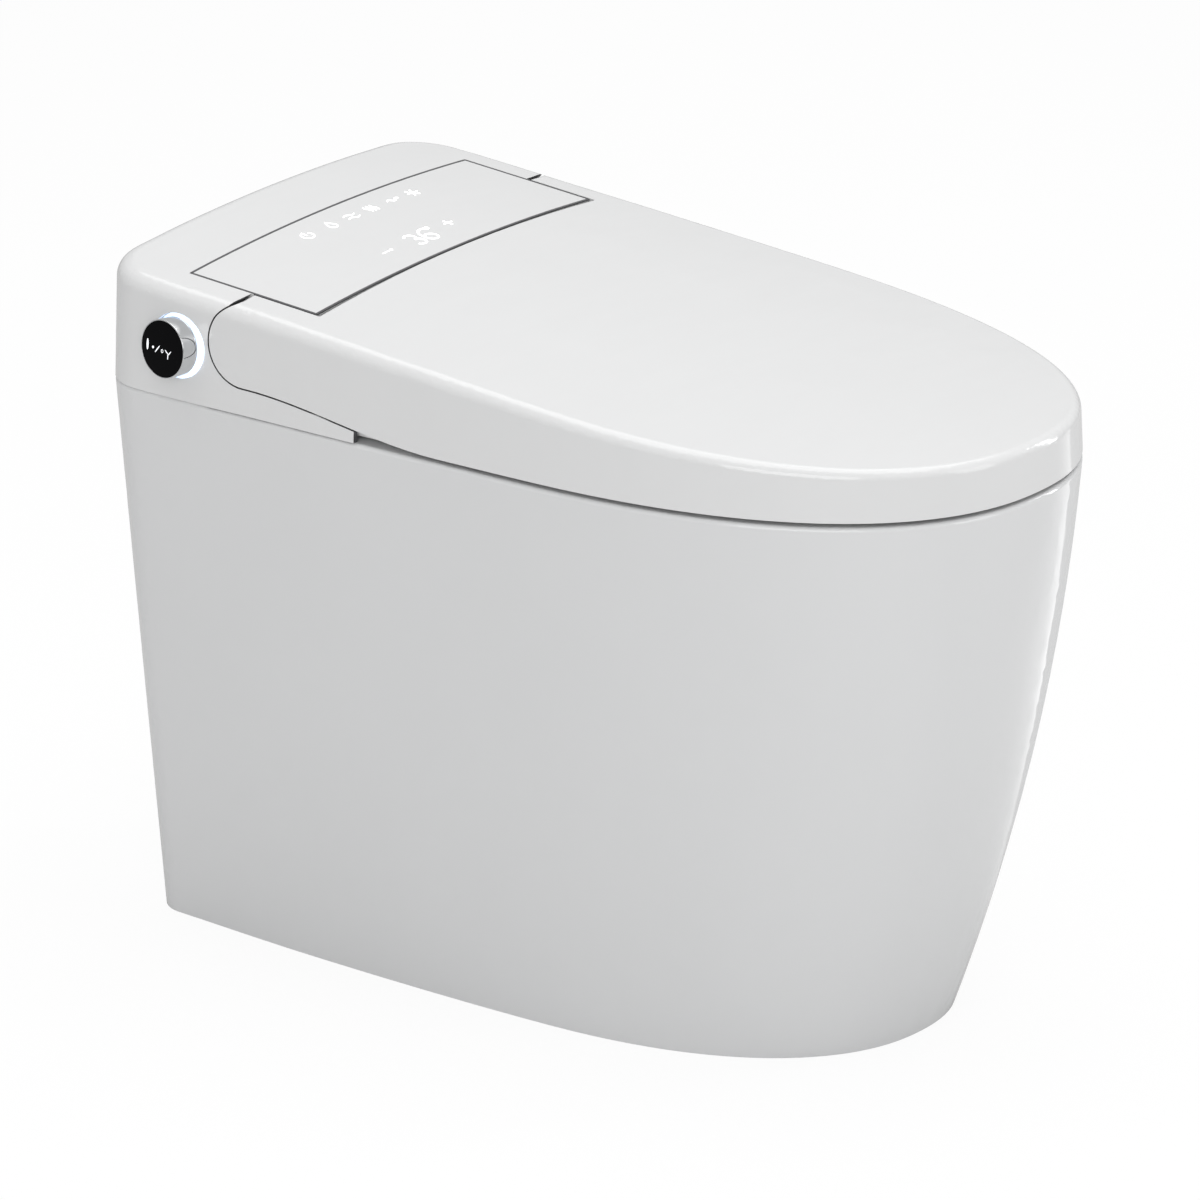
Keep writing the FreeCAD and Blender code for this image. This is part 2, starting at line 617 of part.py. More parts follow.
def ceramic_body():
    """Skirt, rim deck, bowl and trapway in one piece of ceramic."""
    outer = body_loft(0, 0, size.rim_height)
    top_edges = [e for e in outer.Edges if e.BoundBox.ZMin > size.rim_height - 1]
    outer = outer.makeFillet(size.rim_round, top_edges)
    shell = outer.cut(body_loft(size.skirt_wall, -1, size.rim_height - size.deck_thickness))
    path = trap_path()
    trapway = tube(path, size.trap_bore + size.trap_wall)
    solid = shell.fuse([bowl_shape(size.bowl_wall, 0).common(outer), trapway])
    notch = size.wash_notch_half_width
    high = size.rim_height + 5
    tools = [bowl_shape(0, high), tube(path, size.trap_bore)]
    half = size.service_half_width
    tools.append(block(-half, half, size.service_back, size.service_front,
                       size.rim_height - size.deck_thickness - 1, high))
    tools.append(block(-notch, notch, size.service_front - 2, size.tongue_front + 24,
                       size.duct_mouth_low - 8, high))
    for side in (1, -1):
        low = spot(size.bolt_depth, high - 60, side * size.bolt_x)
        tools.append(Part.makeCylinder(size.bolt_hole, 60, low))
    port = spot(-5, size.hose_port_height, size.hose_port_x)
    tools.append(Part.makeCylinder(size.hose_port_radius, size.skirt_wall + 30, port, Vector(0, -1, 0)))
    jet = spot(size.bowl_centre - size.bowl_half_length, size.hose_top, size.hose_x)
    tools.append(Part.makeCylinder(size.hose_bore, 70, jet, Vector(0, -1, 0)))
    return keep(solid.cut(tools).removeSplitter(), "ceramic_body")


# ---------------------------------------------------------------- lid

def tongue_reach():
    """Distance from the hinge line to the tongue's top front corner."""
    return math.hypot(size.tongue_front - size.hinge_depth, top_height(size.tongue_front) - size.hinge_height)


def lid_shell():
    """The lid's curved shell, with round ears, eyes for the hinge and a notch for the tongue."""
    outer = upper_envelope(0).common(lid_side(0))
    inner = upper_envelope(size.lid_wall).common(lid_space(size.ear_radius - size.lid_wall))
    half = size.tongue_half_width + size.notch_gap
    notch_radius = tongue_reach() + size.notch_gap
    low, sky = size.rim_height - 60, size.top_back_height + 60
    arm_room = size.boss_inner - size.side_gap
    above_eye = size.hinge_height + size.seat_boss_radius + size.eye_gap
    tools = [inner, block(-half, half, -20, size.hinge_depth, low, sky),
             rod(-half, half, size.hinge_depth, size.hinge_height, notch_radius),
             block(-arm_room, arm_room, -20, size.hinge_depth + 14, low, above_eye),
             block(-arm_room, arm_room, size.hinge_depth, size.seat_back + 2, low, size.hinge_height)]
    shell = outer.cut(tools)
    lip = rod(-half, half, size.hinge_depth, size.hinge_height, notch_radius + size.lid_wall)
    lip = lip.cut(rod(-half, half, size.hinge_depth, size.hinge_height, notch_radius)).common(outer)
    lip = lip.common(block(-half, half, size.hinge_depth + 15, size.rim_length, size.ear_height, sky))

    def ear(side):
        span = side_span(side, size.boss_inner, size.boss_inner + size.lid_wall)
        web = rod(*span, size.hinge_depth, size.hinge_height, size.seat_back - size.hinge_depth - 3)
        span = side_span(side, size.boss_inner, size.boss_outer + 4)
        eye = rod(*span, size.hinge_depth, size.hinge_height, size.lid_boss_radius)
        return web.fuse(eye).common(outer)

    def bore(side):
        span = side_span(side, size.boss_inner - 1, size.boss_outer + size.side_gap)
        return rod(*span, size.hinge_depth, size.hinge_height, size.bush_radius)

    shell = shell.fuse([lip, ear(1), ear(-1)]).cut([bore(1), bore(-1)])
    return keep(shell, "lid_shell")


def seat_top(depth):
    """Height of the seat's flat top at a depth."""
    slope = (size.seat_nose_height - size.seat_back_height) / (size.rim_length - size.seat_back)
    return size.seat_back_height + slope * (depth - size.seat_back)


def seat_layer(low, high):
    """The slab between two distances above the seat's top plane."""
    ends = (0, size.rim_length + 50)
    corners = [(ends[0], seat_top(ends[0]) + low), (ends[1], seat_top(ends[1]) + low),
               (ends[1], seat_top(ends[1]) + high), (ends[0], seat_top(ends[0]) + high)]
    return across(chain([*corners, corners[0]]))


def lid_liner():
    """The flat plate that closes the lid from below."""
    room = upper_envelope(size.lid_wall + size.side_gap)
    front = block(-BIG, BIG, size.seat_back + 1, BIG, 0, BIG)
    layer = seat_layer(size.lid_bumper_height, size.lid_bumper_height + size.liner_wall)
    plate = room.common(layer).common(front)
    return keep(plate, "lid_liner")


def bumper_spots():
    """Where the seat and lid bumpers are: x and depth."""
    back = (size.hole_centre - size.hole_half_length - 16, size.hole_half_width + 40)
    front = (size.hole_centre + size.hole_half_length + 20, size.hole_half_width - 5)
    return [(side * x, depth) for depth, x in (back, front) for side in (1, -1)]


def lid_bumpers():
    """Four pads between the liner and the seat."""
    layer = seat_layer(size.pad_gap, size.lid_bumper_height)
    pads = [Part.makeCylinder(size.bumper_radius, 60, spot(depth, size.rim_height, x)).common(layer)
            for x, depth in bumper_spots()]
    return keep(Part.makeCompound(pads), "lid_bumpers")


# ---------------------------------------------------------------- seat

def seat_block(wall, top_drop, bottom):
    """The seat's ring, moved in by a wall, from a height up to its sloping top."""
    ring = inset(outline_at(size.rim_height), size.seat_inset + wall)
    ring.start, ring.corner = size.seat_back + wall, 16 - wall
    solid = prism(outline_wire(ring, bottom), bottom, size.hinge_height)
    hole = oval(size.hole_centre, size.hole_half_length + wall, size.hole_half_width + wall, bottom - 1)
    solid = solid.cut(prism(hole, bottom - 1, size.hinge_height))
    return solid.common(seat_layer(-80, -top_drop)).Solids[0]


def upper_edges(solid, low):
    """The edges that lie wholly above a height."""
    return [e for e in solid.Edges if e.BoundBox.ZMin > low]


def seat_arm(side):
    """One of the seat's two arms, with its eye."""
    start, stop = side_span(side, size.arm_inner, size.arm_outer)
    eye = rod(start, stop, size.hinge_depth, size.hinge_height, size.seat_boss_radius)
    reach, low = size.seat_back + size.seat_wall - 1, size.rim_height + size.seat_lift
    front = size.hinge_depth + size.seat_boss_radius
    back = size.hinge_depth - size.seat_boss_radius
    corners = [(back, size.hinge_height), (front, size.hinge_height), (reach, size.seat_back_height - 6),
               (reach, low + 2), (size.hinge_depth + 22, low + 2), (size.hinge_depth - 1, low + 31)]
    link = across(chain([*corners, corners[0]]), start, stop)
    return eye.fuse(link)


def seat_top_shell():
    """The heated seat's upper shell with its two hinge arms."""
    bottom = size.rim_height + size.seat_lift
    outside = seat_block(0, 0, bottom)
    outside = outside.makeFillet(size.seat_round, upper_edges(outside, bottom + 5))
    room = seat_block(size.seat_wall, size.seat_wall, bottom - 1)
    shell = outside.cut(room).fuse([seat_arm(1), seat_arm(-1)])
    bores = [rod(*side_span(side, size.arm_inner - 1, size.arm_outer + 1), size.hinge_depth, size.hinge_height,
                 size.bush_radius) for side in (1, -1)]
    return keep(shell.cut(bores), "seat_top_shell")


def seat_bottom_shell():
    """The plate that closes the seat from below."""
    bottom = size.rim_height + size.seat_lift
    plate = seat_block(size.seat_wall + size.hole_gap, size.seat_wall, bottom)
    layer = block(-BIG, BIG, -BIG, BIG, bottom, bottom + size.seat_floor)
    return keep(plate.common(layer), "seat_bottom_shell")


def seat_heater():
    """The heating sheet under the seat's top skin."""
    sheet = seat_block(size.seat_round + 1, size.seat_wall, size.rim_height)
    layer = seat_layer(-size.seat_wall - size.heater_thickness, -size.seat_wall)
    return keep(sheet.common(layer), "seat_heater")


def seat_bumpers():
    """Four pads between the seat and the rim."""
    low = size.rim_height + size.pad_gap
    pads = [Part.makeCylinder(size.bumper_radius, size.seat_lift - size.pad_gap, spot(depth, low, x))
            for x, depth in bumper_spots()]
    return keep(Part.makeCompound(pads), "seat_bumpers")


# ---------------------------------------------------------------- housing

def knob_place(out):
    """A place on the knob's axis, this far out of its seat on the housing, and the axis."""
    yaw, pitch = math.radians(size.knob_yaw), math.radians(size.knob_pitch)
    axis = Vector(-math.cos(pitch) * math.cos(yaw), math.cos(pitch) * math.sin(yaw), math.sin(pitch))
    return spot(size.knob_depth, size.knob_height, -size.knob_seat_x) + axis * out, axis


def knob_drum(low, high, radius):
    """A round solid on the knob's axis between two places."""
    place, axis = knob_place(low)
    return Part.makeCylinder(radius, high - low, place, axis)


def rear_housing():
    """The rear housing's shell with its tongue under the display and its forward arms."""
    whole = upper_envelope(0, bottom=size.rim_height + size.housing_lift)
    behind = lid_side(size.ear_gap)
    wall, half = size.housing_wall, size.tongue_half_width
    low, sky = size.rim_height - 5, size.top_back_height + 60
    arm_start = size.ear_depth
    ears = whole.cut([behind, block(-BIG, BIG, arm_start, BIG, low, sky)])
    arms = whole.cut([upper_envelope(size.arm_wall), behind])
    arms = arms.common(block(-BIG, BIG, arm_start - 1, size.arm_tip, low, sky))
    tongue = whole.common(block(-half, half, size.display_back, size.tongue_front, low, sky))
    solid = ears.fuse([arms, tongue])
    under = size.display_wall + size.hole_gap + wall
    room = upper_envelope(wall, bottom=low).cut([
        lid_side(size.ear_gap + wall), block(-BIG, BIG, arm_start - wall, BIG, low - 30, sky),
        block(-half - 2, half + 2, size.display_back - wall, BIG, low - 30, sky)])
    tongue_room = upper_envelope(under, bottom=low).common(
        block(wall - half, half - wall, size.housing_wall + 40, size.tongue_front - wall, low - 30, sky))
    gap = size.display_gap
    wide = size.display_half_width + gap
    pocket = block(-wide, wide, size.display_back - gap, BIG,
                   size.ear_height, sky)
    wide_pocket = block(-half - 1, half + 1, size.ear_depth - size.ear_radius * 0.4, BIG,
                        size.ear_height, sky)
    pocket = pocket.fuse(wide_pocket).cut(under_top(size.display_wall + size.hole_gap))
    wide = size.display_board_width / 2 + 1
    board = block(-wide, wide, size.display_board_back - 1,
                  size.display_board_back + size.display_board_length + 1, size.hinge_height, sky)
    tools = [room, tongue_room, pocket, board, wash_port(), dryer_port(),
             knob_drum(-size.halo_depth, 30, size.halo_radius + size.hole_gap)]
    for side in (1, -1):
        tools.append(block(*sorted((side * (half - wall), side * (half + 2))), size.display_back - wall,
                           arm_start - wall, low, chassis_top() + size.chassis_gap))
        tools.append(rod(*side_span(side, half, size.boss_outer + size.lid_wall), size.hinge_depth,
                         size.hinge_height, size.lid_sweep_radius))
    solid = solid.cut(tools)
    pad = knob_drum(-size.knob_pad_depth, -size.halo_depth, size.knob_pad_radius).common(whole)
    solid = solid.fuse([pad, screw_boss(1, size.screw_back), screw_boss(-1, size.screw_back),
                        screw_boss(1, size.screw_front), screw_boss(-1, size.screw_front)])
    holes = [rod(*side_span(side, half - wall - 1, half + 1), size.hinge_depth, size.hinge_height,
                 size.pin_radius + 0.02) for side in (1, -1)]
    holes.append(knob_drum(-30, 5, size.knob_bush_radius + 0.05))
    holes += [screw_cut(x, depth) for x, depth in screw_spots()]
    return keep(solid.cut(holes), "rear_housing")


def wash_port():
    """The opening in the tongue's front for the nozzles."""
    half = size.nozzle_case_width / 2 + 1
    return block(-half, half, size.tongue_front - size.housing_wall - 1, size.tongue_front + 1,
                 size.rim_height - 5, size.rim_height + 12)


def dryer_port():
    """The opening in the tongue's front for the dryer duct."""
    half = size.duct_width / 2 + 3
    back = size.tongue_front - size.housing_wall - 1
    return block(duct_x() - half, duct_x() + half, back, size.tongue_front + 1,
                 size.rim_height - 5, size.duct_mouth_high + 3)


def duct_x():
    """Place of the middle of the dryer duct."""
    return size.nozzle_case_width / 2 + 3 + size.duct_width / 2


def chassis_top():
    """Height of the chassis plate's top."""
    return size.rim_height + size.gasket_height + size.chassis_wall


def screw_spots():
    """Where the housing screws are: x and depth."""
    return [(side * size.screw_x, depth) for depth in (size.screw_back, size.screw_front) for side in (1, -1)]


def screw_boss(side, depth):
    """A boss inside the housing for a screw, joined to the side wall."""
    half, low = size.boss_half_width, chassis_top()
    low_x, high_x = side_span(side, size.screw_x - half, size.rim_half_width)
    column = block(low_x, high_x, depth - half, depth + half, low, low + size.screw_length + size.chassis_gap)
    return column.common(upper_envelope(size.housing_wall / 2, rounded=False, bottom=size.rim_height))


def screw_cut(x, depth):
    """The hole for a housing screw."""
    return Part.makeCylinder(size.screw_radius, size.screw_length, spot(depth, chassis_top() - 2, x))


def plate_hole(radius, x, depth):
    """A cutter for a hole through the chassis plate."""
    low = size.rim_height + size.gasket_height - size.hole_overrun
    return Part.makeCylinder(radius, size.chassis_wall + 2 * size.hole_overrun, spot(depth, low, x))


def chassis_plate():
    """The plate that carries everything in the housing, bolted to the ceramic."""
    wall = size.housing_wall + size.chassis_gap
    bottom = size.rim_height + size.gasket_height
    sheet = prism(outline_wire(inset(outline_at(size.rim_height), wall), bottom), bottom, chassis_top())
    tongue_half = size.tongue_half_width - wall
    sheet = sheet.common(block(-BIG, BIG, 0, size.ear_depth - wall, 0, BIG).fuse(
        block(-tongue_half, tongue_half, 0, size.tongue_front - wall, 0, BIG)))
    notch = size.wash_notch_half_width
    tools = [block(-notch, notch, size.service_front - 4, BIG, 0, BIG)]
    bore = size.bolt_radius + size.bolt_gap
    tools += [plate_hole(bore, side * size.bolt_x, size.bolt_depth) for side in (1, -1)]
    for x, depth in screw_spots():
        tools.append(plate_hole(size.screw_radius + size.hole_gap, x, depth))
        sink = size.screw_head_height + size.hole_gap
        tools.append(Part.makeCylinder(size.screw_head + size.hole_gap, sink, spot(depth, bottom, x)))
    tools.append(plate_hole(size.inlet_thread + size.hole_gap, size.inlet_x, size.inlet_depth))
    tools.append(plate_hole(size.gland_radius + size.hole_gap, size.inlet_x, size.gland_depth))
    return keep(sheet.cut(tools), "chassis_plate")


def deck_gasket():
    """The soft gasket between the chassis and the ceramic's deck."""
    margin, rim = size.gasket_margin, size.rim_height
    wall = size.housing_wall + margin
    sheet = prism(outline_wire(inset(outline_at(rim), wall), rim), rim, rim + size.gasket_height)
    sheet = sheet.common(block(-BIG, BIG, 0, size.ear_depth - wall, 0, BIG))
    notch, half = size.wash_notch_half_width + margin, size.service_half_width + margin
    tools = [block(-half, half, size.service_back - margin, size.service_front + margin, 0, BIG),
             block(-notch, notch, size.service_front, BIG, 0, BIG)]
    tools += [plate_hole(size.screw_head + size.chassis_gap, x, depth) for x, depth in screw_spots()]
    return keep(sheet.cut(tools), "deck_gasket")


def display_cover():
    """The display's curved cover, flush with the housing's top."""
    half = size.display_half_width
    area = block(-half, half, size.display_back, size.display_front, size.ear_height, BIG)
    cover = area.common(under_top(0)).cut(under_top(size.display_wall))
    return keep(cover, "display_cover")


def display_board():
    """The display's circuit board, close under the cover."""
    half = size.display_board_width / 2
    area = block(-half, half, size.display_board_back, size.display_board_back + size.display_board_length,
                 size.ear_height, BIG)
    low = size.display_wall + size.side_gap
    board = area.common(under_top(low)).cut(under_top(low + size.board_thickness))
    return keep(board, "display_board")


# ---------------------------------------------------------------- pieces bound to the sheet

ALONG_X = Rotation(Vector(0, 1, 0), 90)
AGAINST_X = Rotation(Vector(0, 1, 0), -90)
DOWN = Rotation(Vector(1, 0, 0), 180)
CHASSIS_TOP = "(rim_height + gasket_height + chassis_wall)"


def bind(thing, name, text):
    """Tie a size or a place to the sheet, with the sheet's words in the text."""
    thing.setExpression(name, WORDS.sub(r"Sizes.\1", str(text)))


def settle(thing, x, depth, z, turn=None):
    """Put an object at a place given as x, depth and height."""
    thing.Placement = Placement(Vector(), turn or Rotation())
    bind(thing, "Placement.Base.x", x)
    bind(thing, "Placement.Base.y", f"outlet_setback - ({depth})")
    bind(thing, "Placement.Base.z", z)


def name_node(thing, label):
    """Make an object a node of its own."""
    thing.Label = label
    NODES.append(thing)
    return thing


def new_sketch(body, role):
    """A sketch on one of a body's own origin planes."""
    sketch = body.newObject("Sketcher::SketchObject", body.Name + "_sketch")
    plane = next(f for f in body.Origin.OriginFeatures if f.Role == role)
    sketch.AttachmentSupport = [(plane, "")]
    sketch.MapMode = "FlatFace"
    return sketch


def draw_corners(sketch, corners):
    """A closed outline with corners tied to the sheet, each a pair of texts; 0 lies on an axis."""
    count = len(corners)
    rough = [Vector(10 + 7 * math.cos(-2.3 + 6.28 * n / count), 10 + 7 * math.sin(-2.3 + 6.28 * n / count), 0)
             for n in range(count)]
    for n in range(count):
        sketch.addGeometry(Part.LineSegment(rough[n], rough[(n + 1) % count]), False)
    for n in range(count):
        sketch.addConstraint(Sketcher.Constraint("Coincident", n, 2, (n + 1) % count, 1))
    for n, corner in enumerate(corners):
        for kind, axis, text, value in (("DistanceX", -2, corner[0], rough[n].x),
                                        ("DistanceY", -1, corner[1], rough[n].y)):
            if text == "0":
                sketch.addConstraint(Sketcher.Constraint("PointOnObject", n, 1, axis))
            else:
                number = sketch.addConstraint(Sketcher.Constraint(kind, -1, 1, n, 1, value))
                bind(sketch, f"Constraints[{number}]", text)


def turned(name, steps, bores=()):
    """A round piece: steps of (radius, length) from its start, and bores given the same way."""
    def profile(rows):
        height, points = "0", []
        for radius, length in rows:
            points.append((radius, height))
            height = length if height == "0" else f"{height} + {length}"
            points.append((radius, height))
        return points, height

    outer, top = profile(steps)
    inner, _ = profile(bores)
    corners = outer + (inner[::-1] if inner else [("0", top), ("0", "0")])
    body = doc.addObject("PartDesign::Body", name)
    sketch = new_sketch(body, "XZ_Plane")
    draw_corners(sketch, corners)
    turn = body.newObject("PartDesign::Revolution", name + "_turn")
    turn.Profile = sketch
    turn.ReferenceAxis = (sketch, ["V_Axis"])
    turn.Angle = 360
    body.Tip = turn
    return body


def padded(name, width, length, height, rounding=None):
    """A box-shaped piece drawn as a rectangle and raised, with its upright edges rounded if asked."""
    body = doc.addObject("PartDesign::Body", name)
    sketch = new_sketch(body, "XY_Plane")
    draw_corners(sketch, [("0", "0"), (width, "0"), (width, length), ("0", length)])
    pad = body.newObject("PartDesign::Pad", name + "_pad")
    pad.Profile = sketch
    bind(pad, "Length", height)
    body.Tip = pad
    if rounding:
        doc.recompute()
        upright = [f"Edge{n}" for n, e in enumerate(pad.Shape.Edges, start=1)
                   if abs(e.tangentAt(e.FirstParameter).z) > 0.99]
        edge = body.newObject("PartDesign::Fillet", name + "_round")
        edge.Base = (pad, upright)
        bind(edge, "Radius", rounding)
        body.Tip = edge
    return body


def stand(body, x, back, z, width, length):
    """Place a padded piece from its middle across, its back depth and its bottom."""
    settle(body, f"{x} - {width} / 2", f"{back} + {length}", z)
    return body


def drum(name, radius, height, x, depth, z, turn=None):
    """A plain cylinder."""
    made = doc.addObject("Part::Cylinder", name)
    bind(made, "Radius", radius)
    bind(made, "Height", height)
    settle(made, x, depth, z, turn)
    return made


def group(label, members):
    """Separate like pieces that share a node."""
    made = doc.addObject("Part::Compound", label)
    made.Links = members
    return name_node(made, label)


def on_knob(body, out):
    """Place a turned piece on the knob's axis, this far out of the knob's seat."""
    place, axis = knob_place(0)
    body.Placement = Placement(Vector(), Rotation(Vector(0, 0, 1), axis))
    bind(body, "Placement.Base.x", f"-knob_seat_x - ({out}) * cos(knob_pitch) * cos(knob_yaw)")
    bind(body, "Placement.Base.y",
         f"outlet_setback - knob_depth + ({out}) * cos(knob_pitch) * sin(knob_yaw)")
    bind(body, "Placement.Base.z", f"knob_height + ({out}) * sin(knob_pitch)")
    return body


def hinge_parts():
    """Pins fixed in the tongue, bushes in the seat's arms and in the lid's ears, and the two drives."""
    fit = "pin_radius + pin_clearance"
    pins, seat_bushes, lid_bushes, brackets = [], [], [], []
    for side, turn, word in ((1, ALONG_X, "right"), (-1, AGAINST_X, "left")):
        pin = turned(f"pin_{word}", [("pin_head_radius", "pin_head"),
                                     ("pin_radius", "(boss_outer - pin_inner - pin_head)")])
        settle(pin, f"{side} * pin_inner", "hinge_depth", "hinge_height", turn)
        pins.append(pin)
        length = "(arm_outer - arm_inner)"
        bush = turned(f"seat_bush_{word}", [("bush_radius - press_gap", length)], [(fit, length)])
        settle(bush, f"{side} * arm_inner", "hinge_depth", "hinge_height", turn)
        seat_bushes.append(bush)
        length = "(boss_outer - boss_inner)"
        bush = turned(f"lid_bush_{word}", [("bush_radius - press_gap", length)], [(fit, length)])
        settle(bush, f"{side} * boss_inner", "hinge_depth", "hinge_height", turn)
        lid_bushes.append(bush)
        foot = padded(f"bracket_{word}", "bracket_width", "drive_length - 6", f"drive_bottom - {CHASSIS_TOP}")
        stand(foot, f"{side} * (drive_inner + drive_outer) / 2", "hinge_depth - drive_length / 2 - 2",
              CHASSIS_TOP, "bracket_width", "(drive_length - 6)")
        brackets.append(foot)
    group("hinge_pins", pins)
    group("seat_bushes", seat_bushes)
    group("lid_bushes", lid_bushes)
    group("drive_brackets", brackets)
    for side, label in ((1, "lid_drive"), (-1, "seat_drive")):
        low, high = side_span(side, size.drive_inner, size.drive_outer)
        case = block(low, high, size.hinge_depth - size.drive_length / 2 - 2,
                     size.hinge_depth + size.drive_length / 2 - 2, size.drive_bottom, size.drive_top)
        keep(case.fuse(rod(low, high, size.hinge_depth, size.hinge_height, size.drive_radius)), label)


def knob_parts():
    """The turning and pushing knob on the housing's side."""
    fit = "(knob_shaft_radius + pin_clearance)"
    deep = "halo_depth + halo_proud"
    halo = turned("halo_ring", [("halo_radius", deep)], [("halo_bore", deep)])
    name_node(on_knob(halo, "-halo_depth"), "halo_ring")
    barrel = "(knob_pad_depth - bush_recess)"
    bush = turned("knob_bush", [("(knob_bush_radius + flange_width)", "flange_thickness"),
                                ("knob_bush_radius", barrel)], [(fit, f"({barrel} + flange_thickness)")])
    name_node(on_knob(bush, "-knob_pad_depth - flange_thickness"), "knob_bush")
    encoder = turned("knob_encoder", [("encoder_radius", "encoder_length")], [(fit, "encoder_length")])
    behind = "-knob_pad_depth - flange_thickness - side_gap - encoder_length"
    name_node(on_knob(encoder, behind), "knob_encoder")
    seat = "(knob_standoff + knob_length - face_thickness + face_proud)"
    reach = f"(knob_pad_depth + encoder_length + {seat} - seat_gap)"
    shaft = turned("knob_shaft", [("knob_shaft_radius", reach)])
    name_node(on_knob(shaft, "-knob_pad_depth - encoder_length"), "knob_shaft")
    pocket = "(face_thickness - face_proud)"
    rim = turned("knob_rim", [("knob_radius", "knob_length")],
                 [("halo_bore", "rim_hollow"), (fit, f"(knob_length - rim_hollow - {pocket})"),
                  ("face_radius + thread_gap", pocket)])
    name_node(on_knob(rim, "knob_standoff"), "knob_rim")
    face = turned("knob_face", [("face_radius", "face_thickness")])
    name_node(on_knob(face, seat), "knob_face")


def fasteners():
    """Chassis bolts with nuts under the deck, and housing screws."""
    bolts, nuts, screws = [], [], []
    for side, word in ((1, "right"), (-1, "left")):
        shank = "(chassis_wall + deck_thickness + bolt_spare)"
        bolt = turned(f"bolt_{word}", [("bolt_head", "bolt_head_height"), ("bolt_radius", shank)])
        settle(bolt, f"{side} * bolt_x", "bolt_depth", f"{CHASSIS_TOP} + bolt_head_height", DOWN)
        bolts.append(bolt)
        nut = turned(f"nut_{word}", [("bolt_head", "nut_height")],
                     [("bolt_radius + thread_gap", "nut_height")])
        settle(nut, f"{side} * bolt_x", "bolt_depth", "rim_height - deck_thickness", DOWN)
        nuts.append(nut)
        for row in ("back", "front"):
            screw = turned(f"screw_{word}_{row}", [("screw_head", "screw_head_height"),
                                                   ("screw_radius - press_gap", "screw_length")])
            settle(screw, f"{side} * screw_x", f"screw_{row}", "rim_height + gasket_height")
            screws.append(screw)
    group("chassis_bolts", bolts)
    group("chassis_nuts", nuts)
    group("housing_screws", screws)


def electric_parts():
    """The box-shaped units, the control board on its posts and the deodoriser."""
    for unit, *_ in UNITS:
        width, length = f"{unit}_width", f"{unit}_length"
        body = padded(unit, width, length, f"{unit}_height", "box_round")
        name_node(stand(body, f"{unit}_x", f"{unit}_back", CHASSIS_TOP, width, length), unit)
    board = padded("control_board", "board_width", "board_length", "board_thickness")
    stand(board, "board_x", "board_back", f"{CHASSIS_TOP} + board_post", "board_width", "board_length")
    name_node(board, "control_board")
    posts = []
    for side in (-1, 1):
        for place in ("board_back + board_post_inset", "board_back + board_length - board_post_inset"):
            posts.append(drum(f"board_post_{len(posts)}", "board_post_radius", "board_post",
                              f"board_x + {side} * (board_width / 2 - board_post_inset)", place, CHASSIS_TOP))
    group("board_posts", posts)
    air = padded("deodoriser", "deodoriser_width", "deodoriser_length", "deodoriser_height", "box_round")
    stand(air, "-(nozzle_case_width / 2 + side_gap + deodoriser_width / 2)", "deodoriser_back",
          "rim_height + gasket_height", "deodoriser_width", "deodoriser_length")
    name_node(air, "deodoriser")


def water_parts():
    """Buffer tank with its stand-offs, flush pump, inlet fitting and mains gland."""
    tank = padded("tank_outside", "tank_width", "tank_length", "tank_top - tank_bottom", "tank_round")
    stand(tank, "tank_x", "tank_back", "tank_bottom", "tank_width", "tank_length")
    room = doc.addObject("Part::Box", "tank_room")
    for name, text in (("Length", "tank_width - 2 * tank_wall"), ("Width", "tank_length - 2 * tank_wall"),
                       ("Height", "tank_top - tank_bottom - 2 * tank_wall")):
        bind(room, name, text)
    settle(room, "tank_x - tank_width / 2 + tank_wall", "tank_back + tank_length - tank_wall",
           "tank_bottom + tank_wall")
    hollow = doc.addObject("Part::Cut", "buffer_tank")
    hollow.Base, hollow.Tool = tank, room
    name_node(hollow, "buffer_tank")
    posts = []
    for side in (-1, 1):
        for place in ("tank_back + post_inset_along", "tank_back + tank_length - post_inset_along"):
            across_text = f"tank_x + {side} * (tank_width / 2 - post_inset_across)"
            posts.append(drum(f"tank_post_{len(posts)}", "post_radius",
                              "rim_height + gasket_height - tank_top", across_text, place, "tank_top"))
    group("tank_posts", posts)
    middle = "tank_back + tank_length / 2"
    pump = turned("flush_pump", [("pump_foot_radius", "pump_foot_height"),
                                 ("pump_radius", "(pump_height - pump_foot_height)")])
    settle(pump, "0", middle, "tank_bottom - pump_height")
    name_node(pump, "flush_pump")
    inlet = turned("water_inlet", [("inlet_thread", "inlet_length"),
                                   ("inlet_thread - thread_depth", "chassis_wall"),
                                   ("inlet_collar", "collar_height")],
                   [("inlet_bore", "(inlet_length + chassis_wall + collar_height)")])
    settle(inlet, "inlet_x", "inlet_depth", "rim_height + gasket_height - inlet_length")
    name_node(inlet, "water_inlet")
    gland = turned("mains_gland", [("gland_radius", "(gland_length + chassis_wall)"),
                                   ("(gland_radius + gland_flange)", "gland_flange")],
                   [("gland_bore", "(gland_length + chassis_wall + gland_flange)")])
    settle(gland, "inlet_x", "gland_depth", "rim_height + gasket_height - gland_length")
    name_node(gland, "mains_gland")
    seal = turned("outlet_seal", [("trap_bore + trap_wall + seal_width", "seal_height")],
                  [("trap_bore + trap_wall + hole_gap", "seal_height")])
    settle(seal, "0", "outlet_setback", "0")
    name_node(seal, "outlet_seal")


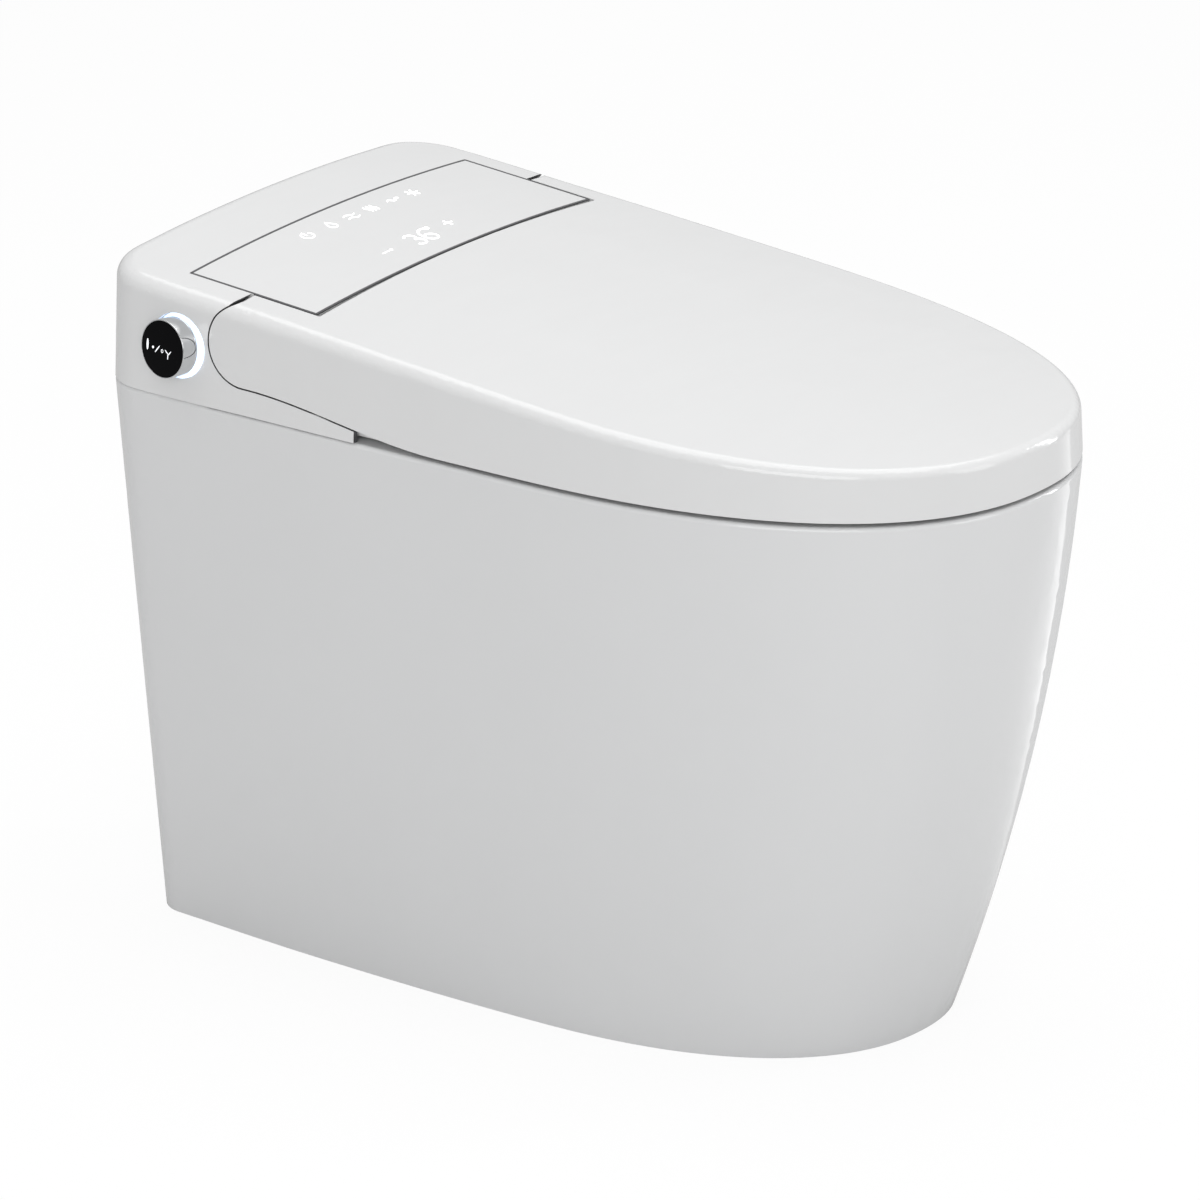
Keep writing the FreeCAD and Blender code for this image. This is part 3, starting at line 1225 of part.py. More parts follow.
def pump_hose():
    """The hose from the pump's side up and forward to the bowl's jet."""
    depth = size.tank_back + size.tank_length / 2
    level = size.tank_bottom - size.pump_height / 2
    clear = size.hose_radius + size.hose_clear
    side = size.tank_x - size.tank_width / 2 - clear
    front = size.tank_back + size.tank_length + clear
    entry = size.bowl_centre - size.bowl_half_length + size.hose_reach
    points = [spot(depth, level, -size.pump_radius), spot(depth, level, side),
              spot(depth, level + size.hose_rise, side), spot(front, level + size.hose_slant, side),
              spot(front, size.hose_top, side), spot(front, size.hose_top, size.hose_x),
              spot(entry, size.hose_top, size.hose_x)]
    bends = [size.hose_bend] * 3 + [size.hose_tight_bend] * 2
    path = rounded_path(points, bends)
    bowl = bowl_shape(size.bowl_wall + size.side_gap, 0)
    hose = tube(path, size.hose_radius).cut([tube(path, size.hose_bore), bowl])
    return keep(hose, "pump_hose")


# ---------------------------------------------------------------- washing and drying

def nozzle_axis():
    """The direction that the nozzles slide out in."""
    angle = math.radians(size.nozzle_angle)
    return Vector(0, -math.cos(angle), -math.sin(angle))


def nozzle_point(x, out, lift=0.0):
    """A place on a nozzle's line, this far out of its mouth and this far above the line."""
    axis = nozzle_axis()
    mouth = spot(size.nozzle_mouth_depth, size.nozzle_mouth_height, x)
    return mouth + axis * out + Vector(0, axis.z, -axis.y) * lift


def sloped(x, low, high, radius):
    """A round bar on a nozzle's line between two places."""
    return Part.makeCylinder(radius, high - low, nozzle_point(x, low), nozzle_axis())


def sloped_block(low_x, high_x, start, stop, low, high):
    """A block that lies along the nozzles' slope."""
    corners = [nozzle_point(low_x, out, lift)
               for out, lift in ((start, low), (stop, low), (stop, high), (start, high))]
    return Part.Face(Part.makePolygon([*corners, corners[0]])).extrude(Vector(high_x - low_x, 0, 0))


def nozzle_housing():
    """The sloping housing with a bore for each nozzle and two feet on the chassis."""
    half, tall = size.nozzle_case_width / 2, size.nozzle_case_height / 2
    foot = size.nozzle_foot / 2
    start = -size.nozzle_length - size.nozzle_stop
    case = sloped_block(-half, half, start, -size.nozzle_stop / 2, -tall, tall)
    feet = [block(side * (half - foot) - foot, side * (half - foot) + foot, size.nozzle_foot_back,
                  size.service_front - size.nozzle_foot_gap, chassis_top(),
                  size.nozzle_mouth_height + size.nozzle_foot_rise) for side in (1, -1)]
    bores = [sloped(x, start - 1, 1, size.nozzle_radius + size.slide_clearance) for x in nozzle_places()]
    return keep(case.fuse(feet).cut(bores), "nozzle_housing")


def nozzle_places():
    """The x of the rear-wash nozzle and of the front-wash nozzle."""
    return -size.nozzle_spacing / 2, size.nozzle_spacing / 2


def nozzles():
    """Each nozzle tube and its tip with a jet hole."""
    for x, word in zip(nozzle_places(), ("rear", "front")):
        bore = size.nozzle_radius - size.nozzle_wall
        pipe = sloped(x, -size.nozzle_length, -size.tip_length, size.nozzle_radius)
        pipe = pipe.cut(sloped(x, -size.nozzle_length + size.nozzle_stop, 0, bore))
        keep(pipe, f"{word}_nozzle")
        tip = sloped(x, -size.tip_length, 0, size.nozzle_radius)
        end = min((e for e in tip.Edges if e.isClosed()), key=lambda e: e.CenterOfMass.z)
        tip = tip.makeFillet(size.tip_round, [end])
        tip = tip.fuse(sloped(x, -size.tip_length - size.tip_spigot, -size.tip_length, bore - size.press_gap))
        middle = nozzle_point(x, -size.tip_length / 2)
        jet = Part.makeCylinder(size.jet_radius, size.nozzle_radius + 2, middle,
                                Vector(0, nozzle_axis().z, -nozzle_axis().y))
        keep(tip.cut(jet), f"{word}_nozzle_tip")


def nozzle_motors():
    """A small motor on each side of the nozzle housing."""
    middle = nozzle_point(0, -size.nozzle_length + size.nozzle_motor_radius + size.nozzle_stop)
    motors = []
    for side in (1, -1):
        start = Vector(side * (size.nozzle_case_width / 2 + size.side_gap), middle.y, middle.z)
        motors.append(Part.makeCylinder(size.nozzle_motor_radius, size.nozzle_motor_length, start,
                                        Vector(side, 0, 0)))
    return keep(Part.makeCompound(motors), "nozzle_motors")


def upright(radius, low, high, x, depth):
    """A round bar that stands upright."""
    return Part.makeCylinder(radius, high - low, spot(depth, low, x))


def dryer_blower():
    """The blower's case, which stands on the chassis and opens towards the duct."""
    low, high = chassis_top(), chassis_top() + size.blower_height
    place = (size.blower_x, size.blower_depth)
    case = upright(size.blower_radius, low, high, *place)
    wall = size.blower_wall
    mouth = size.duct_width / 2
    top = low + size.duct_height
    front = size.service_front - size.chassis_gap
    snout = block(duct_x() - mouth, duct_x() + mouth, size.blower_depth, front, low, top)
    room = block(duct_x() - mouth + wall, duct_x() + mouth - wall, size.blower_depth, size.service_front,
                 low + wall, top - wall)
    tools = [upright(size.blower_radius - wall, low + wall, high - wall, *place), room,
             upright(size.rotor_shaft + size.pin_clearance, low - 1, high + 1, *place)]
    return keep(case.fuse(snout).cut(tools), "dryer_blower")


def dryer_rotor():
    """The blower's bladed wheel on its shaft."""
    low = chassis_top() + size.blower_wall + size.rotor_floor
    top = low + size.rotor_height
    place = (size.blower_x, size.blower_depth)
    wheel = upright(size.rotor_radius, low, low + size.rotor_floor, *place)
    hub = upright(size.rotor_hub, low, top, *place)
    shaft = upright(size.rotor_shaft, chassis_top() + size.side_gap,
                    chassis_top() + size.blower_height + size.rotor_reach, *place)
    blades = []
    outer, half = size.rotor_radius - size.blade_inset, size.blade_thickness / 2
    for turn in range(0, 360, 30):
        blade = block(outer - size.blade_length, outer, -half, half, low, top)
        blade.translate(Vector(0, -size.outlet_setback, 0))
        blade.rotate(Vector(), Vector(0, 0, 1), turn)
        blade.translate(spot(size.blower_depth, 0, size.blower_x))
        blades.append(blade)
    return keep(wheel.fuse([hub, shaft, *blades]), "dryer_rotor")


def dryer_motor():
    """The motor on top of the blower."""
    low = chassis_top() + size.blower_height
    place = (size.blower_x, size.blower_depth)
    body = upright(size.dryer_motor_radius, low, low + size.dryer_motor_height, *place)
    socket = upright(size.rotor_shaft + size.pin_clearance, low - 1, low + size.rotor_reach + 1, *place)
    return keep(body.cut(socket), "dryer_motor")


def dryer_duct():
    """The duct that slopes from the blower down to the mouth behind the bowl."""
    half, wall = size.duct_width / 2, size.duct_wall
    back, front = size.service_front - size.duct_back_gap, size.duct_front
    middle, low = duct_x(), chassis_top()
    pin_depth, pin_height = front + size.flap_setback, size.duct_mouth_high

    def passage(less, more):
        rings = []
        for depth, bottom, top in ((back - more, low, low + size.duct_height),
                                   (front + more, size.duct_mouth_low, size.duct_mouth_high)):
            left, right = middle - half + less, middle + half - less
            corners = [spot(depth, z, x) for x, z in ((left, bottom + less), (right, bottom + less),
                                                      (right, top - less), (left, top - less))]
            rings.append(Part.makePolygon([*corners, corners[0]]))
        return Part.makeLoft(rings, True, True)

    def lug(side):
        low_x, high_x = sorted((middle + side * half, middle + side * (half + size.lug_thickness)))
        eye_radius = size.flap_pin + size.lug_wall
        eye = rod(low_x, high_x, pin_depth, pin_height, eye_radius)
        root = block(low_x, high_x, front - size.lug_wall * 2, pin_depth, pin_height - eye_radius,
                     pin_height + eye_radius)
        return eye.fuse(root)

    bore = rod(middle - half - size.lug_thickness - 1, middle + half + size.lug_thickness + 1, pin_depth,
               pin_height, size.flap_pin + size.pin_clearance)
    return keep(passage(0, 0).fuse([lug(1), lug(-1)]).cut([passage(wall, 0.01), bore]), "dryer_duct")


def dryer_flap():
    """The flap that closes the duct's mouth, with its pin in one piece."""
    middle, half = duct_x(), size.duct_width / 2
    pin = rod(middle - half - size.lug_thickness, middle + half + size.lug_thickness,
              size.duct_front + size.flap_setback, size.duct_mouth_high, size.flap_pin)
    back, wide = size.duct_front + size.flap_gap, half - size.flap_side_gap
    plate = block(middle - wide, middle + wide, back, back + size.flap_thickness, size.duct_mouth_low,
                  size.duct_mouth_high)
    return keep(pin.fuse(plate), "dryer_flap")


# ---------------------------------------------------------------- build, check and write

def check_and_write():
    """Stop on any failed object, then write each node's shape."""
    for thing in doc.Objects:
        if "Invalid" in thing.State or "Error" in thing.State:
            raise RuntimeError(f"{thing.Name} failed: {thing.State}")
    os.makedirs("parts", exist_ok=True)
    for node in NODES:
        if node.Shape.isNull() or not node.Shape.isValid():
            raise RuntimeError(f"{node.Label} has no valid shape")
        node.Shape.exportStep(f"parts/{node.Label}.step")
        print(f"{node.Label}: {len(node.Shape.Solids)} solid(s), {node.Shape.Volume / 1000:.1f} cm3")


for make in (ceramic_body, rear_housing, chassis_plate, deck_gasket, display_cover, display_board,
             lid_shell, lid_liner, lid_bumpers, seat_top_shell, seat_bottom_shell, seat_heater,
             seat_bumpers, hinge_parts, knob_parts, fasteners, electric_parts, water_parts, pump_hose,
             nozzle_housing, nozzles, nozzle_motors, dryer_blower, dryer_rotor, dryer_motor, dryer_duct,
             dryer_flap):
    make()
doc.recompute()
check_and_write()
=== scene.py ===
"""Looks of a smart toilet with a heated seat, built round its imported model.

Metres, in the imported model's frame: +Z is up, the front looks along -Y and the knob is on -X.
Depths are measured from the flat back of the body towards the front, as in the part's own source.
"""

import json
import logging
import math
from collections.abc import Iterator
from contextlib import contextmanager
from dataclasses import dataclass
from enum import Enum

import bmesh
import bpy
from mathutils import Matrix, Vector


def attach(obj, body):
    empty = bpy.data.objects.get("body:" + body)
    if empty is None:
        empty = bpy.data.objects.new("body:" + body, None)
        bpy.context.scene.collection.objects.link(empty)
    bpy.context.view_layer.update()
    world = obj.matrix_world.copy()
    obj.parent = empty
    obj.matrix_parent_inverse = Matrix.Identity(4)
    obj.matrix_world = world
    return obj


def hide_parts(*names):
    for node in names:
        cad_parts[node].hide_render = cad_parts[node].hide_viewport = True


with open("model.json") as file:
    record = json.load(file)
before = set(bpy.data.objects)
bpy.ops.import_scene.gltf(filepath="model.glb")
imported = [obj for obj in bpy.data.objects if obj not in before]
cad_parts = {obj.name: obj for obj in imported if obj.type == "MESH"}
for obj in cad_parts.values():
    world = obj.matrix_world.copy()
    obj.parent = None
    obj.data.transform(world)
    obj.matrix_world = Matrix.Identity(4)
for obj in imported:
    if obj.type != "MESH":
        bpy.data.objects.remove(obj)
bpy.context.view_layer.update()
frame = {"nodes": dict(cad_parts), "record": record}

LOG = logging.getLogger("toilet")
MM = 0.001
# From the body's flat back to the floor outlet, where the frame starts.
OUTLET_SETBACK = 0.305
Colour = tuple[float, float, float]
Point = tuple[float, float]
Spot = tuple[float, float, float]
WHITE: Colour = (1.0, 1.0, 1.0)
BODY_OF: dict[str, str] = {node: body
                           for body, nodes in frame["record"]["behaviour"]["bodies"].items()
                           for node in nodes}


# ---------------------------------------------------------------- shader maths

class Wire:
    """A shader socket that takes part in Python sums."""

    def __init__(self, shader: "Shader", socket: bpy.types.NodeSocket) -> None:
        """Keep the shader that owns the socket.

        Args:
            shader: the node tree's writer.
            socket: the output socket to wrap.
        """
        self.shader = shader
        self.socket = socket

    def __add__(self, other: "Wire | float") -> "Wire":
        """This value plus another."""
        return self.shader.maths("ADD", self, other)

    __radd__ = __add__

    def __sub__(self, other: "Wire | float") -> "Wire":
        """This value less another."""
        return self.shader.maths("SUBTRACT", self, other)

    def __rsub__(self, other: "Wire | float") -> "Wire":
        """Another value less this one."""
        return self.shader.maths("SUBTRACT", other, self)

    def __mul__(self, other: "Wire | float") -> "Wire":
        """This value times another."""
        return self.shader.maths("MULTIPLY", self, other)

    __rmul__ = __mul__

    def __gt__(self, other: "Wire | float") -> "Wire":
        """One where this value is the greater, and nought elsewhere."""
        return self.shader.maths("GREATER_THAN", self, other)

    def clamped(self) -> "Wire":
        """This value, kept between nought and one."""
        return self.shader.maths("MINIMUM", self.shader.maths("MAXIMUM", self, 0.0), 1.0)


class Shader:
    """Writes the nodes of one material or world."""

    def __init__(self, owner: "bpy.types.Material | bpy.types.World",
                 output: str = "ShaderNodeOutputMaterial") -> None:
        """Empty the owner's node tree and give it an output.

        Args:
            owner: the material or world.
            output: the output node's type name.
        """
        owner.use_nodes = True
        self.owner = owner
        self.tree = owner.node_tree
        self.tree.nodes.clear()
        self.output = self.tree.nodes.new(output)

    @classmethod
    def of_material(cls, name: str) -> "Shader":
        """Start a new material.

        Args:
            name: the material's name.

        Returns:
            Its writer.
        """
        return cls(bpy.data.materials.new(name))

    def node(self, kind: str, settings: dict | None = None,
             inputs: dict | None = None) -> bpy.types.Node:
        """Add a node, with its settings first and then its sockets' values or links.

        Args:
            kind: the node's type name.
            settings: attributes of the node.
            inputs: values or wires by socket name or number.

        Returns:
            The new node.
        """
        made = self.tree.nodes.new(kind)
        for key, value in (settings or {}).items():
            setattr(made, key, value)
        for key, value in (inputs or {}).items():
            if isinstance(value, Wire):
                self.tree.links.new(value.socket, made.inputs[key])
            else:
                made.inputs[key].default_value = value
        return made

    def wire(self, kind: str, settings: dict | None = None, inputs: dict | None = None,
             output: str | int = 0) -> Wire:
        """Add a node and wrap one of its outputs.

        Args:
            kind: the node's type name.
            settings: attributes of the node.
            inputs: values or wires of its sockets.
            output: the output's name or number.

        Returns:
            The wrapped output.
        """
        return Wire(self, self.node(kind, settings, inputs).outputs[output])

    def maths(self, operation: str, *values: "Wire | float") -> Wire:
        """Add a Math node.

        Args:
            operation: the node's operation.
            values: its values or wires.

        Returns:
            Its result.
        """
        return self.wire("ShaderNodeMath", {"operation": operation}, dict(enumerate(values)))

    def mix(self, share: "Wire | float", first: "Wire | Colour", second: "Wire | Colour") -> Wire:
        """Blend two colours.

        Args:
            share: how much of the second colour there is.
            first: the first colour.
            second: the second colour.

        Returns:
            The blended colour.
        """
        # The colour sockets of a Mix node are its inputs 6 and 7 and its output 2.
        ends = [value if isinstance(value, Wire) else (*value, 1.0) for value in (first, second)]
        return self.wire("ShaderNodeMix", {"data_type": "RGBA"},
                         {0: share, 6: ends[0], 7: ends[1]}, 2)

    def ray(self, kind: str) -> Wire:
        """Whether the ray is of one kind.

        Args:
            kind: the kind's name, such as Camera or Glossy.

        Returns:
            One for such a ray, and nought for others.
        """
        return self.wire("ShaderNodeLightPath", None, None, f"Is {kind} Ray")

    def place(self, scale: Spot = (1, 1, 1), turn: float = 0.0) -> Wire:
        """The place on the object, stretched and turned about Z.

        Args:
            scale: stretch along each axis.
            turn: degrees about Z.

        Returns:
            The vector.
        """
        spot = self.wire("ShaderNodeTexCoord", None, None, "Object")
        return self.wire("ShaderNodeMapping", None,
                         {"Vector": spot, "Rotation": (0, 0, math.radians(turn)), "Scale": scale})

    def noise(self, vector: Wire, scale: float, detail: float = 3.0, rough: float = 0.5) -> Wire:
        """Soft noise from nought to one.

        Args:
            vector: where it is read.
            scale: waves in a metre.
            detail: how many finer layers it has.
            rough: how strong the finer layers are.

        Returns:
            The noise.
        """
        return self.wire("ShaderNodeTexNoise", None, {
            "Vector": vector, "Scale": scale, "Detail": detail, "Roughness": rough})

    def bump(self, height: Wire, depth: float, strength: float = 1.0) -> Wire:
        """The normal of a bumpy surface.

        Args:
            height: the bumps, from nought to one.
            depth: their height in metres.
            strength: how much of the effect there is.

        Returns:
            The normal.
        """
        return self.wire("ShaderNodeBump", None,
                         {"Height": height, "Distance": depth, "Strength": strength}, "Normal")

    def finish(self, shade: Wire) -> "bpy.types.Material | bpy.types.World":
        """Send a shade to the output.

        Args:
            shade: the shade.

        Returns:
            The material or world.
        """
        self.tree.links.new(shade.socket, self.output.inputs["Surface"])
        return self.owner

    def surface(self, **sockets: "Wire | float | tuple") -> bpy.types.Material:
        """Finish with a Principled surface.

        Args:
            sockets: values or wires, with an underscore for each space in the socket's name.

        Returns:
            The material.
        """
        named = {key.replace("_", " "): value for key, value in sockets.items()}
        return self.finish(self.wire("ShaderNodeBsdfPrincipled", None, named))


# ---------------------------------------------------------------- finishes

def tinted(colour: Colour, gain: float, lift: float = 0.0) -> Colour:
    """A lighter or darker form of a colour.

    Args:
        colour: the colour.
        gain: what each part is multiplied by.
        lift: what is added to that.

    Returns:
        The new colour, with no part above one.
    """
    return tuple(min(1.0, value * gain + lift) for value in colour)


class Pattern(Enum):
    """How a finish varies over its surface."""

    GLAZE = "glaze"
    GLOSS = "gloss"
    SATIN = "satin"
    BRUSHED = "brushed"
    METAL = "metal"
    CIRCUIT = "circuit"
    FOIL = "foil"
    FOAM = "foam"
    RUBBER = "rubber"


@dataclass(frozen=True)
class Finish:
    """One finish of the toilet's pieces. Each pattern has a method that takes its writer."""

    name: str
    pattern: Pattern
    colour: Colour
    roughness: float
    metallic: float = 0.0
    coat: float = 0.0
    specular: float = 0.5
    second: Colour = (0.5, 0.5, 0.5)

    def material(self) -> bpy.types.Material:
        """The finish as a Blender material, made once.

        Returns:
            The material.
        """
        known = bpy.data.materials.get(self.name)
        if known:
            return known
        return getattr(self, f"_{self.pattern.value}")(Shader.of_material(self.name))

    def _common(self) -> dict[str, float]:
        """Sockets that have one value all over."""
        return {"Metallic": self.metallic, "Coat_Weight": self.coat, "Coat_Roughness": 0.03,
                "Specular_IOR_Level": self.specular}

    def _glaze(self, shader: Shader) -> bpy.types.Material:
        """Fired glaze: clear gloss with slow waves, fine dimples and a faint change of white."""
        where = shader.place()
        slow = shader.noise(where, scale=9, detail=2)
        fine = shader.noise(where, scale=420, detail=2)
        uneven = shader.noise(where, scale=30, detail=4)
        height = slow * 0.7 + fine * 0.02
        return shader.surface(Base_Color=shader.mix(slow, self.colour, tinted(self.colour, 0.975)),
                              Roughness=self.roughness + 0.05 * uneven,
                              Normal=shader.bump(height, depth=0.0022, strength=0.25),
                              **self._common())

    def _gloss(self, shader: Shader) -> bpy.types.Material:
        """Polished moulding: even colour, a trace of flow marks and rubbed patches."""
        flow = shader.noise(shader.place((1, 2.5, 1), turn=20), scale=14, detail=2)
        rubbed = shader.noise(shader.place(), scale=45, detail=5, rough=0.6)
        return shader.surface(Base_Color=shader.mix(flow, self.colour, tinted(self.colour, 0.98)),
                              Roughness=self.roughness + 0.06 * rubbed,
                              Normal=shader.bump(flow, depth=0.0008, strength=0.2),
                              **self._common())

    def _satin(self, shader: Shader) -> bpy.types.Material:
        """Spark-eroded moulding: a fine even grain and slightly lighter worn patches."""
        where = shader.place()
        grain = shader.noise(where, scale=2600, detail=2, rough=0.7)
        patches = shader.noise(where, scale=24, detail=4)
        light = tinted(self.colour, 1.12, lift=0.01)
        return shader.surface(Base_Color=shader.mix(patches * 0.6, self.colour, light),
                              Roughness=self.roughness + 0.12 * grain,
                              Normal=shader.bump(grain, depth=0.00006, strength=0.6),
                              **self._common())

    def _rubber(self, shader: Shader) -> bpy.types.Material:
        """Moulded rubber: dull, with a bloom of fine dust."""
        where = shader.place()
        grain = shader.noise(where, scale=1500, detail=3, rough=0.6)
        bloom = shader.noise(where, scale=60, detail=5, rough=0.65)
        pale = tinted(self.colour, 1.25, lift=0.015)
        return shader.surface(Base_Color=shader.mix(bloom * 0.7, self.colour, pale),
                              Roughness=self.roughness + 0.1 * grain,
                              Normal=shader.bump(grain, depth=0.0001, strength=0.5),
                              **self._common())

    def _brushed(self, shader: Shader) -> bpy.types.Material:
        """Turned or brushed metal: fine lines along X."""
        lines = shader.noise(shader.place((12, 900, 900)), scale=4, detail=3, rough=0.7)
        stains = shader.noise(shader.place(), scale=40, detail=4)
        return shader.surface(Base_Color=shader.mix(lines, self.colour, tinted(self.colour, 0.82)),
                              Roughness=self.roughness + 0.15 * lines + 0.06 * stains,
                              Normal=shader.bump(lines, depth=0.00003, strength=0.5),
                              **self._common())

    def _metal(self, shader: Shader) -> bpy.types.Material:
        """Polished, plated or painted metal: faint clouding only."""
        where = shader.place()
        cloud = shader.noise(where, scale=70, detail=4, rough=0.6)
        fine = shader.noise(where, scale=900, detail=2)
        return shader.surface(Base_Color=shader.mix(cloud, self.colour, tinted(self.colour, 0.93)),
                              Roughness=self.roughness + 0.05 * cloud,
                              Normal=shader.bump(fine, depth=0.00002, strength=0.3),
                              **self._common())

    def _circuit(self, shader: Shader) -> bpy.types.Material:
        """A circuit board: lacquer over tracks, with tinned pads."""
        lines = shader.wire("ShaderNodeTexBrick", {"offset": 0.37}, {
            "Vector": shader.place(), "Scale": 1.0, "Brick Width": 0.0042, "Row Height": 0.0016,
            "Mortar Size": 0.00035, "Mortar Smooth": 0.1, "Bias": 0.0}, "Fac")
        cells = shader.wire("ShaderNodeTexVoronoi", {"feature": "F1"},
                            {"Vector": shader.place(), "Scale": 190.0}, "Distance")
        pads = 1.0 - (cells > 0.16)
        lacquer = shader.mix(lines, self.colour, tinted(self.colour, 1.9))
        return shader.surface(Base_Color=shader.mix(pads, lacquer, self.second),
                              Roughness=self.roughness - 0.1 * pads, Metallic=pads * 0.9,
                              Normal=shader.bump(lines * 0.5 + pads, depth=0.00008),
                              Coat_Weight=self.coat)

    def _foil(self, shader: Shader) -> bpy.types.Material:
        """A heating sheet: crinkled foil with a raised wire that runs to and fro."""
        bands = shader.wire("ShaderNodeTexWave", {"wave_type": "BANDS", "bands_direction": "X"},
                            {"Vector": shader.place(), "Scale": 32.0, "Distortion": 0.6}, "Fac")
        crinkle = shader.noise(shader.place(), scale=160, detail=4, rough=0.6)
        ridge = bands > 0.93
        return shader.surface(Base_Color=shader.mix(ridge, self.colour, self.second),
                              Roughness=self.roughness + 0.2 * crinkle,
                              Normal=shader.bump(crinkle * 0.4 + ridge, depth=0.0004),
                              **self._common())

    def _foam(self, shader: Shader) -> bpy.types.Material:
        """Cellular foam: open dark cells between pale walls."""
        cells = shader.wire("ShaderNodeTexVoronoi", {"feature": "DISTANCE_TO_EDGE"},
                            {"Vector": shader.place(), "Scale": 900.0}, "Distance")
        walls = 1.0 - cells * 2.2
        pale = tinted(self.colour, 1.5, lift=0.02)
        return shader.surface(Base_Color=shader.mix(walls, self.colour, pale),
                              Roughness=self.roughness, Normal=shader.bump(walls, depth=0.0003),
                              **self._common())


GLAZE = Finish("white_glaze", Pattern.GLAZE, (0.80, 0.805, 0.81), 0.05, coat=0.35)
WHITE_GLOSS = Finish("white_gloss_moulding", Pattern.GLOSS, (0.81, 0.813, 0.815), 0.09, coat=0.25)
WHITE_SATIN = Finish("white_satin_moulding", Pattern.SATIN, (0.78, 0.78, 0.775), 0.38)
NATURAL = Finish("natural_acetal", Pattern.SATIN, (0.75, 0.73, 0.66), 0.4)
GREY_MOULDING = Finish("grey_moulding", Pattern.SATIN, (0.24, 0.25, 0.27), 0.5)
BLACK_MOULDING = Finish("black_moulding", Pattern.SATIN, (0.022, 0.022, 0.024), 0.45)
BLUE_MOULDING = Finish("blue_moulding", Pattern.SATIN, (0.04, 0.08, 0.28), 0.42)
BLACK_GLOSS = Finish("black_gloss_face", Pattern.GLOSS, (0.003, 0.003, 0.0035), 0.06,
                     specular=0.05)
BLACK_RUBBER = Finish("black_rubber", Pattern.RUBBER, (0.02, 0.02, 0.021), 0.72)
PALE_RUBBER = Finish("pale_rubber", Pattern.RUBBER, (0.62, 0.62, 0.61), 0.62)
DARK_FOAM = Finish("dark_foam", Pattern.FOAM, (0.05, 0.05, 0.055), 0.9)
STEEL = Finish("ground_steel", Pattern.BRUSHED, (0.60, 0.60, 0.61), 0.24, metallic=1.0)
ZINC = Finish("zinc_plate", Pattern.METAL, (0.56, 0.57, 0.58), 0.3, metallic=1.0)
CHROME = Finish("bright_chrome", Pattern.METAL, (0.74, 0.75, 0.76), 0.035, metallic=1.0)
BRASS = Finish("turned_brass", Pattern.BRUSHED, (0.62, 0.42, 0.16), 0.26, metallic=1.0)
GREY_METAL = Finish("motor_case", Pattern.METAL, (0.33, 0.34, 0.35), 0.32, metallic=0.9)
BOARD = Finish("circuit_board", Pattern.CIRCUIT, (0.008, 0.075, 0.03), 0.35, coat=0.4,
               second=(0.72, 0.66, 0.5))
HEATER_FOIL = Finish("heater_foil", Pattern.FOIL, (0.68, 0.69, 0.7), 0.25, metallic=1.0,
                     second=(0.55, 0.2, 0.1))
# Painted shade: dark grey put on joint faces whose real moulding is white, to stand for the shade
# in the gaps.
JOINT_SHADE_GREY = Finish("painted_joint_shade", Pattern.SATIN, (0.085, 0.086, 0.09), 0.4)

NODE_FINISHES: dict[str, Finish] = {
    "ceramic_body": GLAZE, "outlet_seal": BLACK_RUBBER, "rear_housing": WHITE_GLOSS,
    "chassis_plate": GREY_MOULDING, "deck_gasket": DARK_FOAM, "display_cover": WHITE_GLOSS,
    "display_board": BOARD, "hinge_pins": STEEL, "seat_bushes": NATURAL, "lid_bushes": NATURAL,
    "drive_brackets": GREY_MOULDING, "lid_drive": BLACK_MOULDING, "seat_drive": BLACK_MOULDING,
    "knob_bush": NATURAL, "knob_encoder": BLACK_MOULDING, "knob_shaft": STEEL,
    "chassis_bolts": ZINC, "chassis_nuts": ZINC, "housing_screws": ZINC,
    "power_supply": GREY_METAL, "water_heater": WHITE_SATIN, "valve_block": BLUE_MOULDING,
    "air_pump": BLACK_MOULDING, "control_board": BOARD, "board_posts": BRASS,
    "deodoriser": GREY_MOULDING, "buffer_tank": WHITE_SATIN, "tank_posts": GREY_MOULDING,
    "flush_pump": BLACK_MOULDING, "water_inlet": BRASS, "mains_gland": BLACK_MOULDING,
    "pump_hose": BLACK_RUBBER, "nozzle_housing": WHITE_SATIN, "nozzle_motors": GREY_METAL,
    "rear_nozzle": CHROME, "rear_nozzle_tip": WHITE_GLOSS, "front_nozzle": CHROME,
    "front_nozzle_tip": WHITE_GLOSS, "dryer_blower": BLACK_MOULDING, "dryer_rotor": NATURAL,
    "dryer_motor": GREY_METAL, "dryer_duct": WHITE_SATIN, "dryer_flap": WHITE_GLOSS,
    "lid_shell": WHITE_GLOSS, "lid_liner": WHITE_SATIN, "lid_bumpers": PALE_RUBBER,
    "seat_top_shell": WHITE_GLOSS, "seat_bottom_shell": WHITE_GLOSS, "seat_heater": HEATER_FOIL,
    "seat_bumpers": PALE_RUBBER,
}


def glow(name: str, colour: Colour, strength: float) -> bpy.types.Material:
    """A lit surface.

    Args:
        name: the material's name.
        colour: its colour.
        strength: how bright it is, where 1 shows as its own colour.

    Returns:
        The material.
    """
    shader = Shader.of_material(name)
    speck = shader.noise(shader.place(), scale=300, detail=2)
    return shader.surface(Base_Color=(*colour, 1), Roughness=0.35, Emission_Strength=strength,
                          Emission_Color=shader.mix(speck, colour, tinted(colour, 0.96)))


# ---------------------------------------------------------------- modelling

